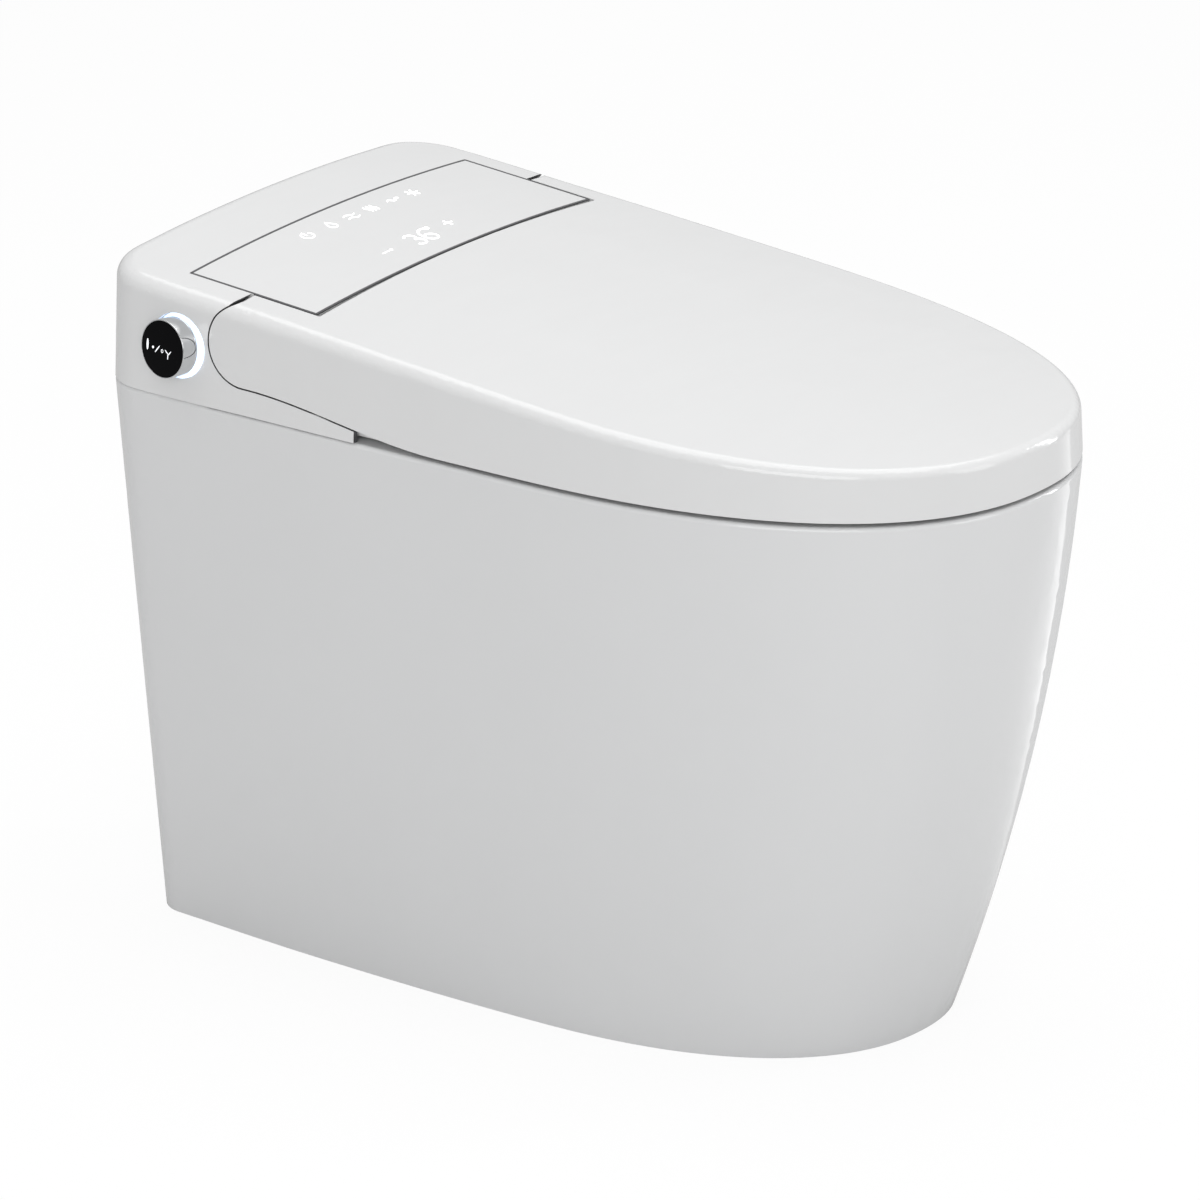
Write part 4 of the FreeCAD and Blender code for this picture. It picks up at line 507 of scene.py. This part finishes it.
class Bench:
    """Blender's own modelling tools, used on one piece at a time."""

    @staticmethod
    def clear() -> None:
        """Leave edit mode and select nothing."""
        if bpy.context.object and bpy.context.object.mode != "OBJECT":
            bpy.ops.object.mode_set(mode="OBJECT")
        bpy.ops.object.select_all(action="DESELECT")

    @staticmethod
    def hold(piece: bpy.types.Object) -> bpy.types.Object:
        """Select one piece alone and make it the active one.

        Args:
            piece: the piece.

        Returns:
            The piece.
        """
        Bench.clear()
        piece.select_set(True)
        bpy.context.view_layer.objects.active = piece
        return piece

    @staticmethod
    def named(name: str) -> bpy.types.Object:
        """Name the piece that was just added, and hold it.

        Args:
            name: its name.

        Returns:
            The piece.
        """
        piece = bpy.context.active_object
        piece.name = piece.data.name = name
        return Bench.hold(piece)

    @staticmethod
    @contextmanager
    def editing(piece: bpy.types.Object) -> Iterator[None]:
        """Edit a piece's mesh, with all of it selected at first.

        Args:
            piece: the piece.

        Yields:
            Nothing, while the piece is in edit mode.
        """
        Bench.hold(piece)
        bpy.ops.object.mode_set(mode="EDIT")
        bpy.ops.mesh.select_all(action="SELECT")
        yield
        bpy.ops.object.mode_set(mode="OBJECT")

    @staticmethod
    def modifier(piece: bpy.types.Object, kind: str, **settings: object) -> None:
        """Add a modifier and apply it.

        Args:
            piece: the piece to change.
            kind: the modifier's type.
            settings: its settings.
        """
        Bench.hold(piece)
        added = piece.modifiers.new(kind.lower(), kind)
        for key, value in settings.items():
            setattr(added, key, value)
        bpy.ops.object.modifier_apply(modifier=added.name)

    @staticmethod
    def smooth(piece: bpy.types.Object, angle: float) -> None:
        """Shade smoothly, with sharp edges above an angle, and keep flat faces flat.

        Args:
            piece: the piece to shade.
            angle: degrees above which an edge is sharp.
        """
        Bench.hold(piece)
        bpy.ops.object.shade_smooth_by_angle(angle=math.radians(angle))
        Bench.modifier(piece, "WEIGHTED_NORMAL", keep_sharp=True)

    @staticmethod
    def join(pieces: list[bpy.types.Object], name: str) -> bpy.types.Object:
        """Make one piece of several.

        Args:
            pieces: the pieces; the first stays.
            name: the name of the result.

        Returns:
            The joined piece.
        """
        Bench.hold(pieces[0])
        for piece in pieces[1:]:
            piece.select_set(True)
        bpy.ops.object.join()
        return Bench.named(name)

    @staticmethod
    def settle(piece: bpy.types.Object, place: Matrix | None = None) -> bpy.types.Object:
        """Put a piece where it belongs, with its place in its mesh.

        Args:
            piece: the piece.
            place: where it goes, if it isn't there yet.

        Returns:
            The piece.
        """
        Bench.hold(piece)
        if place is not None:
            piece.matrix_world = place @ piece.matrix_world
            bpy.context.view_layer.update()
        bpy.ops.object.transform_apply(location=True, rotation=True, scale=True)
        return piece

    @staticmethod
    def fit(piece: bpy.types.Object, node: str, slot: str, finish: bpy.types.Material,
            replaces: bool = False) -> bpy.types.Object:
        """Dress a piece and make it ride with a node's body.

        Args:
            piece: the piece.
            node: the CAD node whose body carries it.
            slot: the record's material slot; not used.
            finish: its material.
            replaces: whether it stands for the node.

        Returns:
            The piece.
        """
        piece.data.materials.clear()
        piece.data.materials.append(finish)
        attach(piece, BODY_OF[node])
        if replaces:
            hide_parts(node)
        LOG.info("piece %s on %s", piece.name, BODY_OF[node])
        return piece


# ---------------------------------------------------------------- the big shells

@dataclass
class Shells:
    """The large visible mouldings and the ceramic, each shaded as one smooth skin.

    The joint is the gap between the lid's ears and the housing. Its faces are the housing's narrow
    edge faces beyond joint_x, from joint_back to joint_front in depth; they get a painted shade.
    """

    smooth_angle: float = 30.0
    weld: float = 0.02 * MM
    joint_x: float = 150 * MM
    joint_back: float = 104 * MM
    joint_front: float = 245 * MM
    joint_most_sideways: float = 0.02
    joint_most_backward: float = 0.9
    nodes: tuple[str, ...] = (
        "ceramic_body", "rear_housing", "lid_shell", "lid_liner", "display_cover",
        "seat_top_shell", "seat_bottom_shell", "dryer_flap", "rear_nozzle", "rear_nozzle_tip",
        "front_nozzle", "front_nozzle_tip", "nozzle_housing")

    def build(self) -> list[bpy.types.Object]:
        """Make each shell's welded and smoothed piece.

        Returns:
            The pieces.
        """
        return [self.skin(node) for node in self.nodes]

    def skin(self, node: str) -> bpy.types.Object:
        """One shell.

        Args:
            node: the CAD node that it stands for.

        Returns:
            The piece.
        """
        mesh = frame["nodes"][node].data.copy()
        piece = bpy.data.objects.new(f"{node}_skin", mesh)
        mesh.name = piece.name
        bpy.context.scene.collection.objects.link(piece)
        Bench.hold(piece)
        bpy.ops.mesh.customdata_custom_splitnormals_clear()
        with Bench.editing(piece):
            bpy.ops.mesh.remove_doubles(threshold=self.weld)
        Bench.smooth(piece, self.smooth_angle)
        Bench.fit(piece, node, node, NODE_FINISHES[node].material(), replaces=True)
        if node == "rear_housing":
            # Painted shade: dark grey on the white housing's faces in the lid's joint.
            self.paint_joint_shade(piece)
        return piece

    def paint_joint_shade(self, piece: bpy.types.Object) -> None:
        """Paint the shade of a deep joint, as dark grey, on the housing's faces round the lid's
        ears, which are white moulding.

        Args:
            piece: the housing's skin.
        """
        # Painted shade: a second, dark grey material for the joint faces.
        piece.data.materials.append(JOINT_SHADE_GREY.material())
        for face in piece.data.polygons:
            depth = OUTLET_SETBACK - face.center.y
            beside = abs(face.center.x) > self.joint_x
            along = self.joint_back < depth < self.joint_front
            is_edge = (abs(face.normal.x) < self.joint_most_sideways
                       and face.normal.y < self.joint_most_backward)
            if beside and along and is_edge:
                face.material_index = 1


# ---------------------------------------------------------------- the display

def arc(radius: float, start: float, stop: float, steps: int = 16,
        middle: Point = (0, 0)) -> list[Point]:
    """Points of an arc.

    Args:
        radius: its radius.
        start: its first angle in degrees.
        stop: its last angle in degrees.
        steps: how many runs it has.
        middle: its centre.

    Returns:
        The points.
    """
    turns = [math.radians(start + (stop - start) * step / steps) for step in range(steps + 1)]
    return [(middle[0] + radius * math.cos(turn), middle[1] + radius * math.sin(turn))
            for turn in turns]


def wave(width: float, height: float, periods: float, up: float = 0.0,
         steps: int = 24) -> list[Point]:
    """Points of a wavy line.

    Args:
        width: its length.
        height: its half height.
        periods: how many waves it has.
        up: how far it is above the middle.
        steps: how many runs it has.

    Returns:
        The points.
    """
    shares = [step / steps for step in range(steps + 1)]
    return [((share - 0.5) * width, up + height * math.sin(2 * math.pi * periods * share))
            for share in shares]


@dataclass
class Stroke:
    """One rounded stroke of a lit mark.

    The points are in shares of the mark's size about its middle. The rest is in millimetres.
    """

    points: list[Point]
    x: float
    depth: float
    size: float = 12.0
    width: float = 0.95
    height: float = 0.3
    closed: bool = False

    def piece(self) -> bpy.types.Object:
        """Draw the stroke.

        Returns:
            Its mesh, flat and at height nought.
        """
        line = bpy.data.curves.new("stroke", "CURVE")
        line.dimensions = "3D"
        spline = line.splines.new("POLY")
        spline.points.add(len(self.points) - 1)
        for point, (across, up) in zip(spline.points, self.points):
            point.co = ((self.x + across * self.size) * MM,
                        OUTLET_SETBACK - (self.depth - up * self.size) * MM, 0, 1)
        spline.use_cyclic_u = self.closed
        line.bevel_depth = self.width * MM / 2
        line.bevel_resolution = 2
        line.use_fill_caps = True
        piece = bpy.data.objects.new("stroke", line)
        bpy.context.scene.collection.objects.link(piece)
        Bench.hold(piece)
        bpy.ops.object.convert(target="MESH")
        piece = bpy.context.active_object
        piece.scale = (1, 1, 2 * self.height / self.width)
        return Bench.settle(piece)


@dataclass
class Display:
    """The painted shade line round the display, and its lit marks. The rows are in millimetres of
    depth.
    """

    half_width: float = 161.9 * MM
    back: float = 67.4 * MM
    front: float = 180.7 * MM
    line: float = 2.0 * MM
    line_thickness: float = 1.0 * MM
    line_lift: float = 0.12 * MM
    mark_lift: float = 0.05 * MM
    corner: float = 1.2 * MM
    corner_segments: int = 4
    # Depth and height of three points of the curved top, and the radius of its crown.
    top_line: tuple[Point, ...] = ((0.008, 0.5146), (0.311, 0.4916), (0.620, 0.4649))
    crown: float = 1.961
    first_row: float = 91.0
    second_row: float = 151.0
    digit: float = 19.0
    digit_width: float = 1.6
    sign: float = 10.0

    def top(self, x: float, y: float) -> float:
        """Height of the curved top.

        Args:
            x: place across.
            y: place along.

        Returns:
            The height.
        """
        depth = OUTLET_SETBACK - y
        (a, p), (b, q), (c, r) = self.top_line
        middle = (p * (depth - b) * (depth - c) / ((a - b) * (a - c))
                  + q * (depth - a) * (depth - c) / ((b - a) * (b - c))
                  + r * (depth - a) * (depth - b) / ((c - a) * (c - b)))
        return middle - x * x / (2 * self.crown)

    def drape(self, piece: bpy.types.Object, lift: float) -> None:
        """Lay a flat piece on the curved top.

        Args:
            piece: a piece drawn near height nought.
            lift: how far it stands above the top.
        """
        for vertex in piece.data.vertices:
            vertex.co.z += self.top(vertex.co.x, vertex.co.y) + lift

    def build(self) -> list[bpy.types.Object]:
        """Make the line and the marks.

        Returns:
            The pieces.
        """
        return [self.outline(), self.marks()]

    def outline(self) -> bpy.types.Object:
        """A dark grey line in the joint round the display: painted shade of the gap.
        """
        Bench.clear()
        middle = OUTLET_SETBACK - (self.back + self.front) / 2
        bpy.ops.mesh.primitive_plane_add(size=1, location=(0, middle, 0))
        piece = Bench.named("display_joint_shade")
        piece.scale = (2 * self.half_width, self.front - self.back, 1)
        Bench.settle(piece)
        with Bench.editing(piece):
            bpy.ops.mesh.bevel(offset=self.corner, segments=self.corner_segments,
                               affect="VERTICES")
            bpy.ops.mesh.select_all(action="SELECT")
            bpy.ops.mesh.inset(thickness=self.line)
            bpy.ops.mesh.delete(type="FACE")
        self.split_long_edges(piece)
        self.drape(piece, self.line_lift)
        Bench.modifier(piece, "SOLIDIFY", thickness=self.line_thickness, offset=-1)
        Bench.smooth(piece, angle=50)
        # Painted shade: the dark grey stands for the shade in the display's joint.
        return Bench.fit(piece, "display_cover", "display_cover", JOINT_SHADE_GREY.material())

    @staticmethod
    def split_long_edges(piece: bpy.types.Object, longest: float = 0.02, cuts: int = 31) -> None:
        """Cut the long strips so that they can follow the curve.

        Args:
            piece: the flat frame.
            longest: edges longer than this are cut.
            cuts: how many cuts each gets.
        """
        with Bench.editing(piece):
            bpy.ops.mesh.select_mode(type="EDGE")
            bpy.ops.mesh.select_all(action="DESELECT")
            mesh = bmesh.from_edit_mesh(piece.data)
            for edge in mesh.edges:
                edge.select_set(edge.calc_length() > longest)
            bmesh.update_edit_mesh(piece.data)
            bpy.ops.mesh.subdivide(number_cuts=cuts)

    def functions(self) -> list[Stroke]:
        """The first row: power, a drop, two waves, rising heat, a long wave and a fan.

        Returns:
            The strokes.
        """
        power, drop, spray, heat, wind, fan = -55.5, -28.0, -4.0, 19.0, 45.0, 68.0
        shapes = [(power, arc(0.42, 100, 440)[:-2]), (power, [(0, 0.05), (0, 0.5)]),
                  (drop, [(0, 0.5), *arc(0.3, 30, -210, 14, (0, -0.12))])]
        shapes += [(spray, wave(1, 0.1, 1, up)) for up in (-0.22, 0.22)]
        shapes += [(heat, [(shift + across * 0.5, up) for up, across in wave(0.8, 0.12, 1)])
                   for shift in (-0.3, 0, 0.3)]
        shapes += [(wind, wave(1.1, 0.16, 1.5)), (fan, arc(0.16, 0, 345, 14))]
        for turn in range(0, 360, 60):
            spoke = math.radians(turn)
            shapes.append((fan, [(share * math.cos(spoke), share * math.sin(spoke))
                                 for share in (0.28, 0.48)]))
        return [Stroke(points, x, self.first_row, closed=x == drop) for x, points in shapes]

    def warmth(self) -> list[Stroke]:
        """The second row: less, more, and the water's warmth between them.

        Returns:
            The strokes.
        """
        row = self.second_row
        less, three, six, degree, more = -41.0, -8.5, 5.5, 15.5, 36.0
        bowls = [*arc(0.235, 150, -80, 12, (0, 0.235)), *arc(0.265, 80, -150, 12, (0, -0.235))]
        curl = [*arc(0.5, 60, 180, 8, (0.27, 0.0)), *arc(0.265, 180, -180, 18, (0, -0.235))]
        return [Stroke([(-0.5, 0), (0.5, 0)], less, row, self.sign),
                Stroke([(0.36, 0.1), (0.5, 0), (0.36, -0.1)], less, row),
                Stroke([(-0.45, 0), (0.45, 0)], more, row - 4, self.sign),
                Stroke([(0, -0.45), (0, 0.45)], more, row - 4, self.sign),
                Stroke(arc(0.14, 0, 345, 12), degree, row - 8),
                Stroke(bowls, three, row, self.digit, self.digit_width),
                Stroke(curl, six, row, self.digit, self.digit_width)]

    def marks(self) -> bpy.types.Object:
        """The lit marks.

        Returns:
            The piece that holds them all.
        """
        strokes = [stroke.piece() for stroke in (*self.functions(), *self.warmth())]
        piece = Bench.join(strokes, "display_marks")
        self.drape(piece, self.mark_lift)
        return Bench.fit(piece, "display_cover", "display_cover", glow("lit_marks", WHITE, 1.15))


# ---------------------------------------------------------------- the knob

@dataclass
class Knob:
    """The chrome knob with its black face and lit ring."""

    seat: Spot = (-0.1894, 0.2254, 0.460)
    yaw: float = 7.0
    pitch: float = 4.0
    radius: float = 21.3 * MM
    standoff: float = 3.0 * MM
    length: float = 14.0 * MM
    edge: float = 0.7 * MM
    groove_place: float = 1.6 * MM
    groove_depth: float = 0.25 * MM
    groove_half: float = 0.3 * MM
    fine_edge: float = 0.1 * MM
    face_radius: float = 20.5 * MM
    face_gap: float = 0.05 * MM
    face_proud: float = 0.3 * MM
    face_thickness: float = 2.0 * MM
    face_dome: float = 0.35 * MM
    mark_height: float = 0.06 * MM
    mark_line: float = 0.45 * MM
    bore: float = 18.0 * MM
    bore_edge: float = 0.3 * MM
    hollow: float = 7.7 * MM
    shaft: float = 3.06 * MM
    halo_radius: float = 23.6 * MM
    halo_depth: float = 2.0 * MM
    halo_rise: float = 0.25 * MM
    halo_edge: float = 0.35 * MM
    sides: int = 128
    smooth_angle: float = 40.0
    # Name, place across and up, width and height in millimetres, and lean in degrees.
    mark_table: tuple[tuple[str, float, float, float, float, float], ...] = (
        ("bar", -14.6, 0.6, 1.9, 8.2, 0), ("dot", -9.0, -0.4, 1.9, 1.9, 0),
        ("slash", -4.6, -0.8, 0.9, 7.2, -38), ("ring", 0.2, -1.4, 2.3, 2.8, 0),
        ("fork_left", 4.6, -1.2, 0.8, 4.4, 52), ("fork_right", 7.4, -1.6, 0.8, 4.4, -40),
        ("fork_stem", 5.9, -4.4, 0.8, 4.0, 0))

    def place(self) -> Matrix:
        """The knob's seat.

        Returns:
            Its place, with Z out of the housing and Y as near to up as it can be.
        """
        yaw, pitch = math.radians(self.yaw), math.radians(self.pitch)
        out = Vector((-math.cos(pitch) * math.cos(yaw), math.cos(pitch) * math.sin(yaw),
                      math.sin(pitch)))
        across = Vector((0, 0, 1)).cross(out).normalized()
        turn = Matrix((across, out.cross(across), out)).transposed()
        return Matrix.Translation(Vector(self.seat)) @ turn.to_4x4()

    def build(self) -> list[bpy.types.Object]:
        """Make the rim, the face, its marks and the ring.

        Returns:
            The pieces.
        """
        return [self.rim(), self.face(), self.face_marks(), self.halo()]

    def spun(self, name: str, corners: list[tuple[float, float, float]]) -> bpy.types.Object:
        """A round piece at the knob's seat, from its half section.

        Args:
            name: its name.
            corners: radius, height and rounding of each corner, round the section.

        Returns:
            The piece.
        """
        profile = self.rounded(corners)
        Bench.clear()
        bpy.ops.mesh.primitive_circle_add(vertices=len(profile), radius=1)
        piece = Bench.named(name)
        for vertex, (radius, height) in zip(piece.data.vertices, profile):
            vertex.co = (radius, 0, height)
        with Bench.editing(piece):
            bpy.ops.mesh.spin(steps=self.sides, angle=2 * math.pi, center=(0, 0, 0),
                              axis=(0, 0, 1))
            bpy.ops.mesh.select_all(action="SELECT")
            bpy.ops.mesh.remove_doubles(threshold=0.01 * MM)
            bpy.ops.mesh.normals_make_consistent(inside=False)
        Bench.smooth(piece, self.smooth_angle)
        return Bench.settle(piece, self.place())

    @staticmethod
    def rounded(corners: list[tuple[float, float, float]], steps: int = 4) -> list[Point]:
        """Round a section's corners.

        Args:
            corners: radius, height and rounding of each corner, round the section.
            steps: runs in each rounding.

        Returns:
            The section's points.
        """
        points = []
        count = len(corners)
        for number, (x, y, rounding) in enumerate(corners):
            if rounding == 0:
                points.append((x, y))
                continue
            here = Vector((x, y))
            before, after = (
                (Vector(corners[beside % count][:2]) - here).normalized() * rounding
                for beside in (number - 1, number + 1))
            for step in range(steps + 1):
                share = step / steps
                bend = (1 - share) ** 2 * before + share ** 2 * after
                points.append(tuple(here + bend))
        return points

    def rim(self) -> bpy.types.Object:
        """The chrome drum with softened edges and a fine groove near its back.

        Returns:
            The rim.
        """
        low, high = self.standoff, self.standoff + self.length
        pocket = high - self.face_thickness + self.face_proud
        groove = low + self.groove_place
        fine, inner = self.fine_edge, self.face_radius + self.face_gap
        piece = self.spun("knob_rim_chrome", [
            (self.bore, low, self.bore_edge), (self.radius, low, self.edge),
            (self.radius, groove - self.groove_half, fine),
            (self.radius - self.groove_depth, groove, fine),
            (self.radius, groove + self.groove_half, fine), (self.radius, high, self.edge * 0.7),
            (inner, high, fine), (inner, pocket, 0), (self.shaft, pocket, 0),
            (self.shaft, low + self.hollow, 0), (self.bore, low + self.hollow, 0)])
        return Bench.fit(piece, "knob_rim", "knob_rim", CHROME.material(), replaces=True)

    def face(self) -> bpy.types.Object:
        """The black face, slightly domed.

        Returns:
            The face.
        """
        low = self.standoff + self.length - self.face_thickness + self.face_proud
        high = low + self.face_thickness
        dome = [(self.face_radius * share, high - self.face_dome * share * share, 0)
                for share in (0.97, 0.8, 0.6, 0.4, 0.2)]
        shoulder = high - self.face_dome - self.fine_edge
        piece = self.spun("knob_face_black", [
            (0, low, 0), (self.face_radius, low, self.fine_edge),
            (self.face_radius, shoulder, self.fine_edge), *dome, (0, high, 0)])
        return Bench.fit(piece, "knob_face", "knob_face", BLACK_GLOSS.material(), replaces=True)

    def face_marks(self) -> bpy.types.Object:
        """Small white marks in a row across the face.

        Returns:
            The piece that holds them all.
        """
        high = self.standoff + self.length + self.face_proud
        marks = []
        for name, x, y, width, tall, lean in self.mark_table:
            Bench.clear()
            bpy.ops.mesh.primitive_circle_add(vertices=32, radius=0.5, fill_type="NGON")
            mark = Bench.named(f"mark_{name}")
            mark.data.transform(Matrix.Diagonal((width * MM, tall * MM, 1, 1)))
            with Bench.editing(mark):
                if name == "ring":
                    bpy.ops.mesh.inset(thickness=self.mark_line)
                    bpy.ops.mesh.delete(type="FACE")
                    bpy.ops.mesh.select_all(action="SELECT")
                bpy.ops.mesh.extrude_region_move(
                    TRANSFORM_OT_translate={"value": (0, 0, self.mark_height)})
            mark.data.transform(Matrix.Rotation(math.radians(lean), 4, "Z"))
            sag = self.face_dome * (math.hypot(x, y) * MM / self.face_radius) ** 2
            mark.data.transform(Matrix.Translation((x * MM, y * MM, high - sag)))
            marks.append(mark)
        piece = Bench.join(marks, "knob_marks")
        Bench.settle(piece, self.place())
        return Bench.fit(piece, "knob_face", "knob_face",
                         glow("lit_knob_marks", (0.9, 0.92, 0.95), 0.7))

    def halo(self) -> bpy.types.Object:
        """The translucent ring that lights the housing round the knob.

        Returns:
            The ring.
        """
        low, high, edge = -self.halo_depth, self.halo_rise, self.halo_edge
        piece = self.spun("knob_halo", [(self.bore, low, 0), (self.halo_radius, low, 0),
                                        (self.halo_radius, high, edge), (self.bore, high, edge)])
        return Bench.fit(piece, "halo_ring", "halo_ring",
                         glow("halo_light", (0.66, 0.79, 1.0), 1.2), replaces=True)


# ---------------------------------------------------------------- inner pieces

@dataclass
class InnerParts:
    """The CAD pieces whose shapes stay: each gets its finish."""

    def build(self) -> list[bpy.types.Object]:
        """Dress every node.

        Returns:
            The nodes' objects.
        """
        dressed = []
        for node, finish in NODE_FINISHES.items():
            piece = frame["nodes"][node]
            piece.data.materials.clear()
            piece.data.materials.append(finish.material())
            dressed.append(piece)
        return dressed


# ---------------------------------------------------------------- the studio

@dataclass(frozen=True)
class Softbox:
    """A soft lamp, with its size in metres and its power in watts."""

    name: str
    place: Spot
    size: tuple[float, float]
    power: float
    aim: Spot = (0, 0, 0.3)

    def hang(self) -> None:
        """Put the lamp in the scene."""
        data = bpy.data.lights.new(self.name, "AREA")
        data.shape = "RECTANGLE"
        data.size, data.size_y = self.size
        data.energy = self.power
        lamp = bpy.data.objects.new(self.name, data)
        lamp.location = self.place
        towards = Vector(self.aim) - Vector(self.place)
        lamp.rotation_euler = towards.to_track_quat("-Z", "Y").to_euler()
        bpy.context.scene.collection.objects.link(lamp)


@dataclass
class Studio:
    """Floor, backdrop, lights and the camera of the photograph.

    The card is a bright patch of the floor that shows only in glossy surfaces. It starts at
    card_start from the middle, along a line turned from +X by card_turn, and grows over
    card_length. Across that line it grows over card_width and ends sharply at card_edge.
    """

    target: Spot = (-0.0499, -0.040, 0.285)
    azimuth: float = -53.7
    elevation: float = 20.0
    distance: float = 8.562
    lens: float = 363.6
    sensor: float = 36.0
    clip: tuple[float, float] = (0.1, 60)
    world_light: float = 0.5
    floor_size: float = 60.0
    floor_pale: float = 0.68
    floor_dark: float = 0.65
    floor_share: float = 0.85
    floor_glow: float = 1.06
    card_turn: float = 13.7
    card_edge: float = -0.16
    card_width: float = 0.50
    card_start: float = 0.20
    card_length: float = 0.45
    card_power: float = 1.6
    lamps: tuple[Softbox, ...] = (
        Softbox("top_softbox", (0.3, 0.2, 3.2), (3.2, 3.2), 50.0),
        Softbox("left_softbox", (-2.9, -1.4, 1.6), (2.4, 1.8), 30.0),
        Softbox("front_softbox", (0.6, -3.6, 1.3), (1.6, 2.2), 17.0),
        Softbox("right_strip", (2.6, -1.8, 1.1), (0.35, 2.0), 14.0, aim=(0.1, -0.2, 0.25)))

    def build(self) -> list[bpy.types.Object]:
        """Make the stage and what lights it.

        Returns:
            The floor.
        """
        self.camera()
        self.world()
        for lamp in self.lamps:
            lamp.hang()
        return [self.floor()]

    def camera(self) -> None:
        """The photograph's view."""
        bearing, height = math.radians(self.azimuth), math.radians(self.elevation)
        back = Vector((math.sin(bearing) * math.cos(height), -math.cos(bearing) * math.cos(height),
                       math.sin(height)))
        data = bpy.data.cameras.new("view")
        data.lens, data.sensor_width = self.lens, self.sensor
        data.clip_start, data.clip_end = self.clip
        camera = bpy.data.objects.new("view", data)
        camera.location = Vector(self.target) + back * self.distance
        camera.rotation_euler = (-back).to_track_quat("-Z", "Y").to_euler()
        bpy.context.scene.collection.objects.link(camera)
        bpy.context.scene.camera = camera
        bpy.context.scene.view_settings.view_transform = "Standard"

    def world(self) -> None:
        """A plain world: white to the camera, softer light elsewhere."""
        world = bpy.data.worlds.new("studio")
        bpy.context.scene.world = world
        shader = Shader(world, "ShaderNodeOutputWorld")
        seen, lit = (shader.wire("ShaderNodeBackground", None,
                                 {"Color": (*WHITE, 1), "Strength": strength})
                     for strength in (1.0, self.world_light))
        chosen = shader.maths("MAXIMUM", shader.ray("Camera"), shader.ray("Transmission"))
        shader.finish(shader.wire("ShaderNodeMixShader", None, {0: chosen, 1: lit, 2: seen}))

    def floor(self) -> bpy.types.Object:
        """The pale floor, white to the camera except for the object's shadow.

        Returns:
            The floor.
        """
        Bench.clear()
        bpy.ops.mesh.primitive_grid_add(x_subdivisions=8, y_subdivisions=8, size=self.floor_size,
                                        location=(0, 0, 0))
        piece = Bench.named("studio_floor")
        shader = Shader.of_material("pale_floor")
        tint = shader.mix(shader.noise(shader.place(), scale=3, detail=3),
                          (self.floor_pale,) * 3, (self.floor_dark,) * 3)
        matte = shader.wire("ShaderNodeBsdfDiffuse", None, {"Color": tint})
        in_card = shader.ray("Glossy") * self.card(shader)
        shine = shader.mix(in_card, WHITE, (self.card_power,) * 3)
        bright = shader.wire("ShaderNodeEmission", None,
                             {"Color": shine, "Strength": self.floor_glow})
        share = shader.ray("Camera") * self.floor_share + in_card
        both = shader.wire("ShaderNodeMixShader", None, {0: share, 1: matte, 2: bright})
        piece.data.materials.append(shader.finish(both))
        return piece

    def card(self, shader: Shader) -> Wire:
        """Where the floor's card is.

        Args:
            shader: the floor's writer.

        Returns:
            Nought off the card, growing to one on it.
        """
        axes = shader.node("ShaderNodeSeparateXYZ", None,
                           {"Vector": shader.place(turn=self.card_turn)})
        along, across = (Wire(shader, axes.outputs[axis]) for axis in "XY")
        inner = (across - (self.card_edge - self.card_width)) * (1 / self.card_width)
        outer = (along - self.card_start) * (1 / self.card_length)
        return inner.clamped() * outer.clamped() * (1.0 - (across > self.card_edge))


def main() -> None:
    """Build every sub-assembly in order and report its pieces."""
    logging.basicConfig(level=logging.INFO, format="%(message)s")
    for assembly in (Studio(), InnerParts(), Shells(), Display(), Knob()):
        made = assembly.build()
        LOG.info("%s: %d piece(s)", type(assembly).__name__, len(made))


if __name__ == "__main__":
    main()
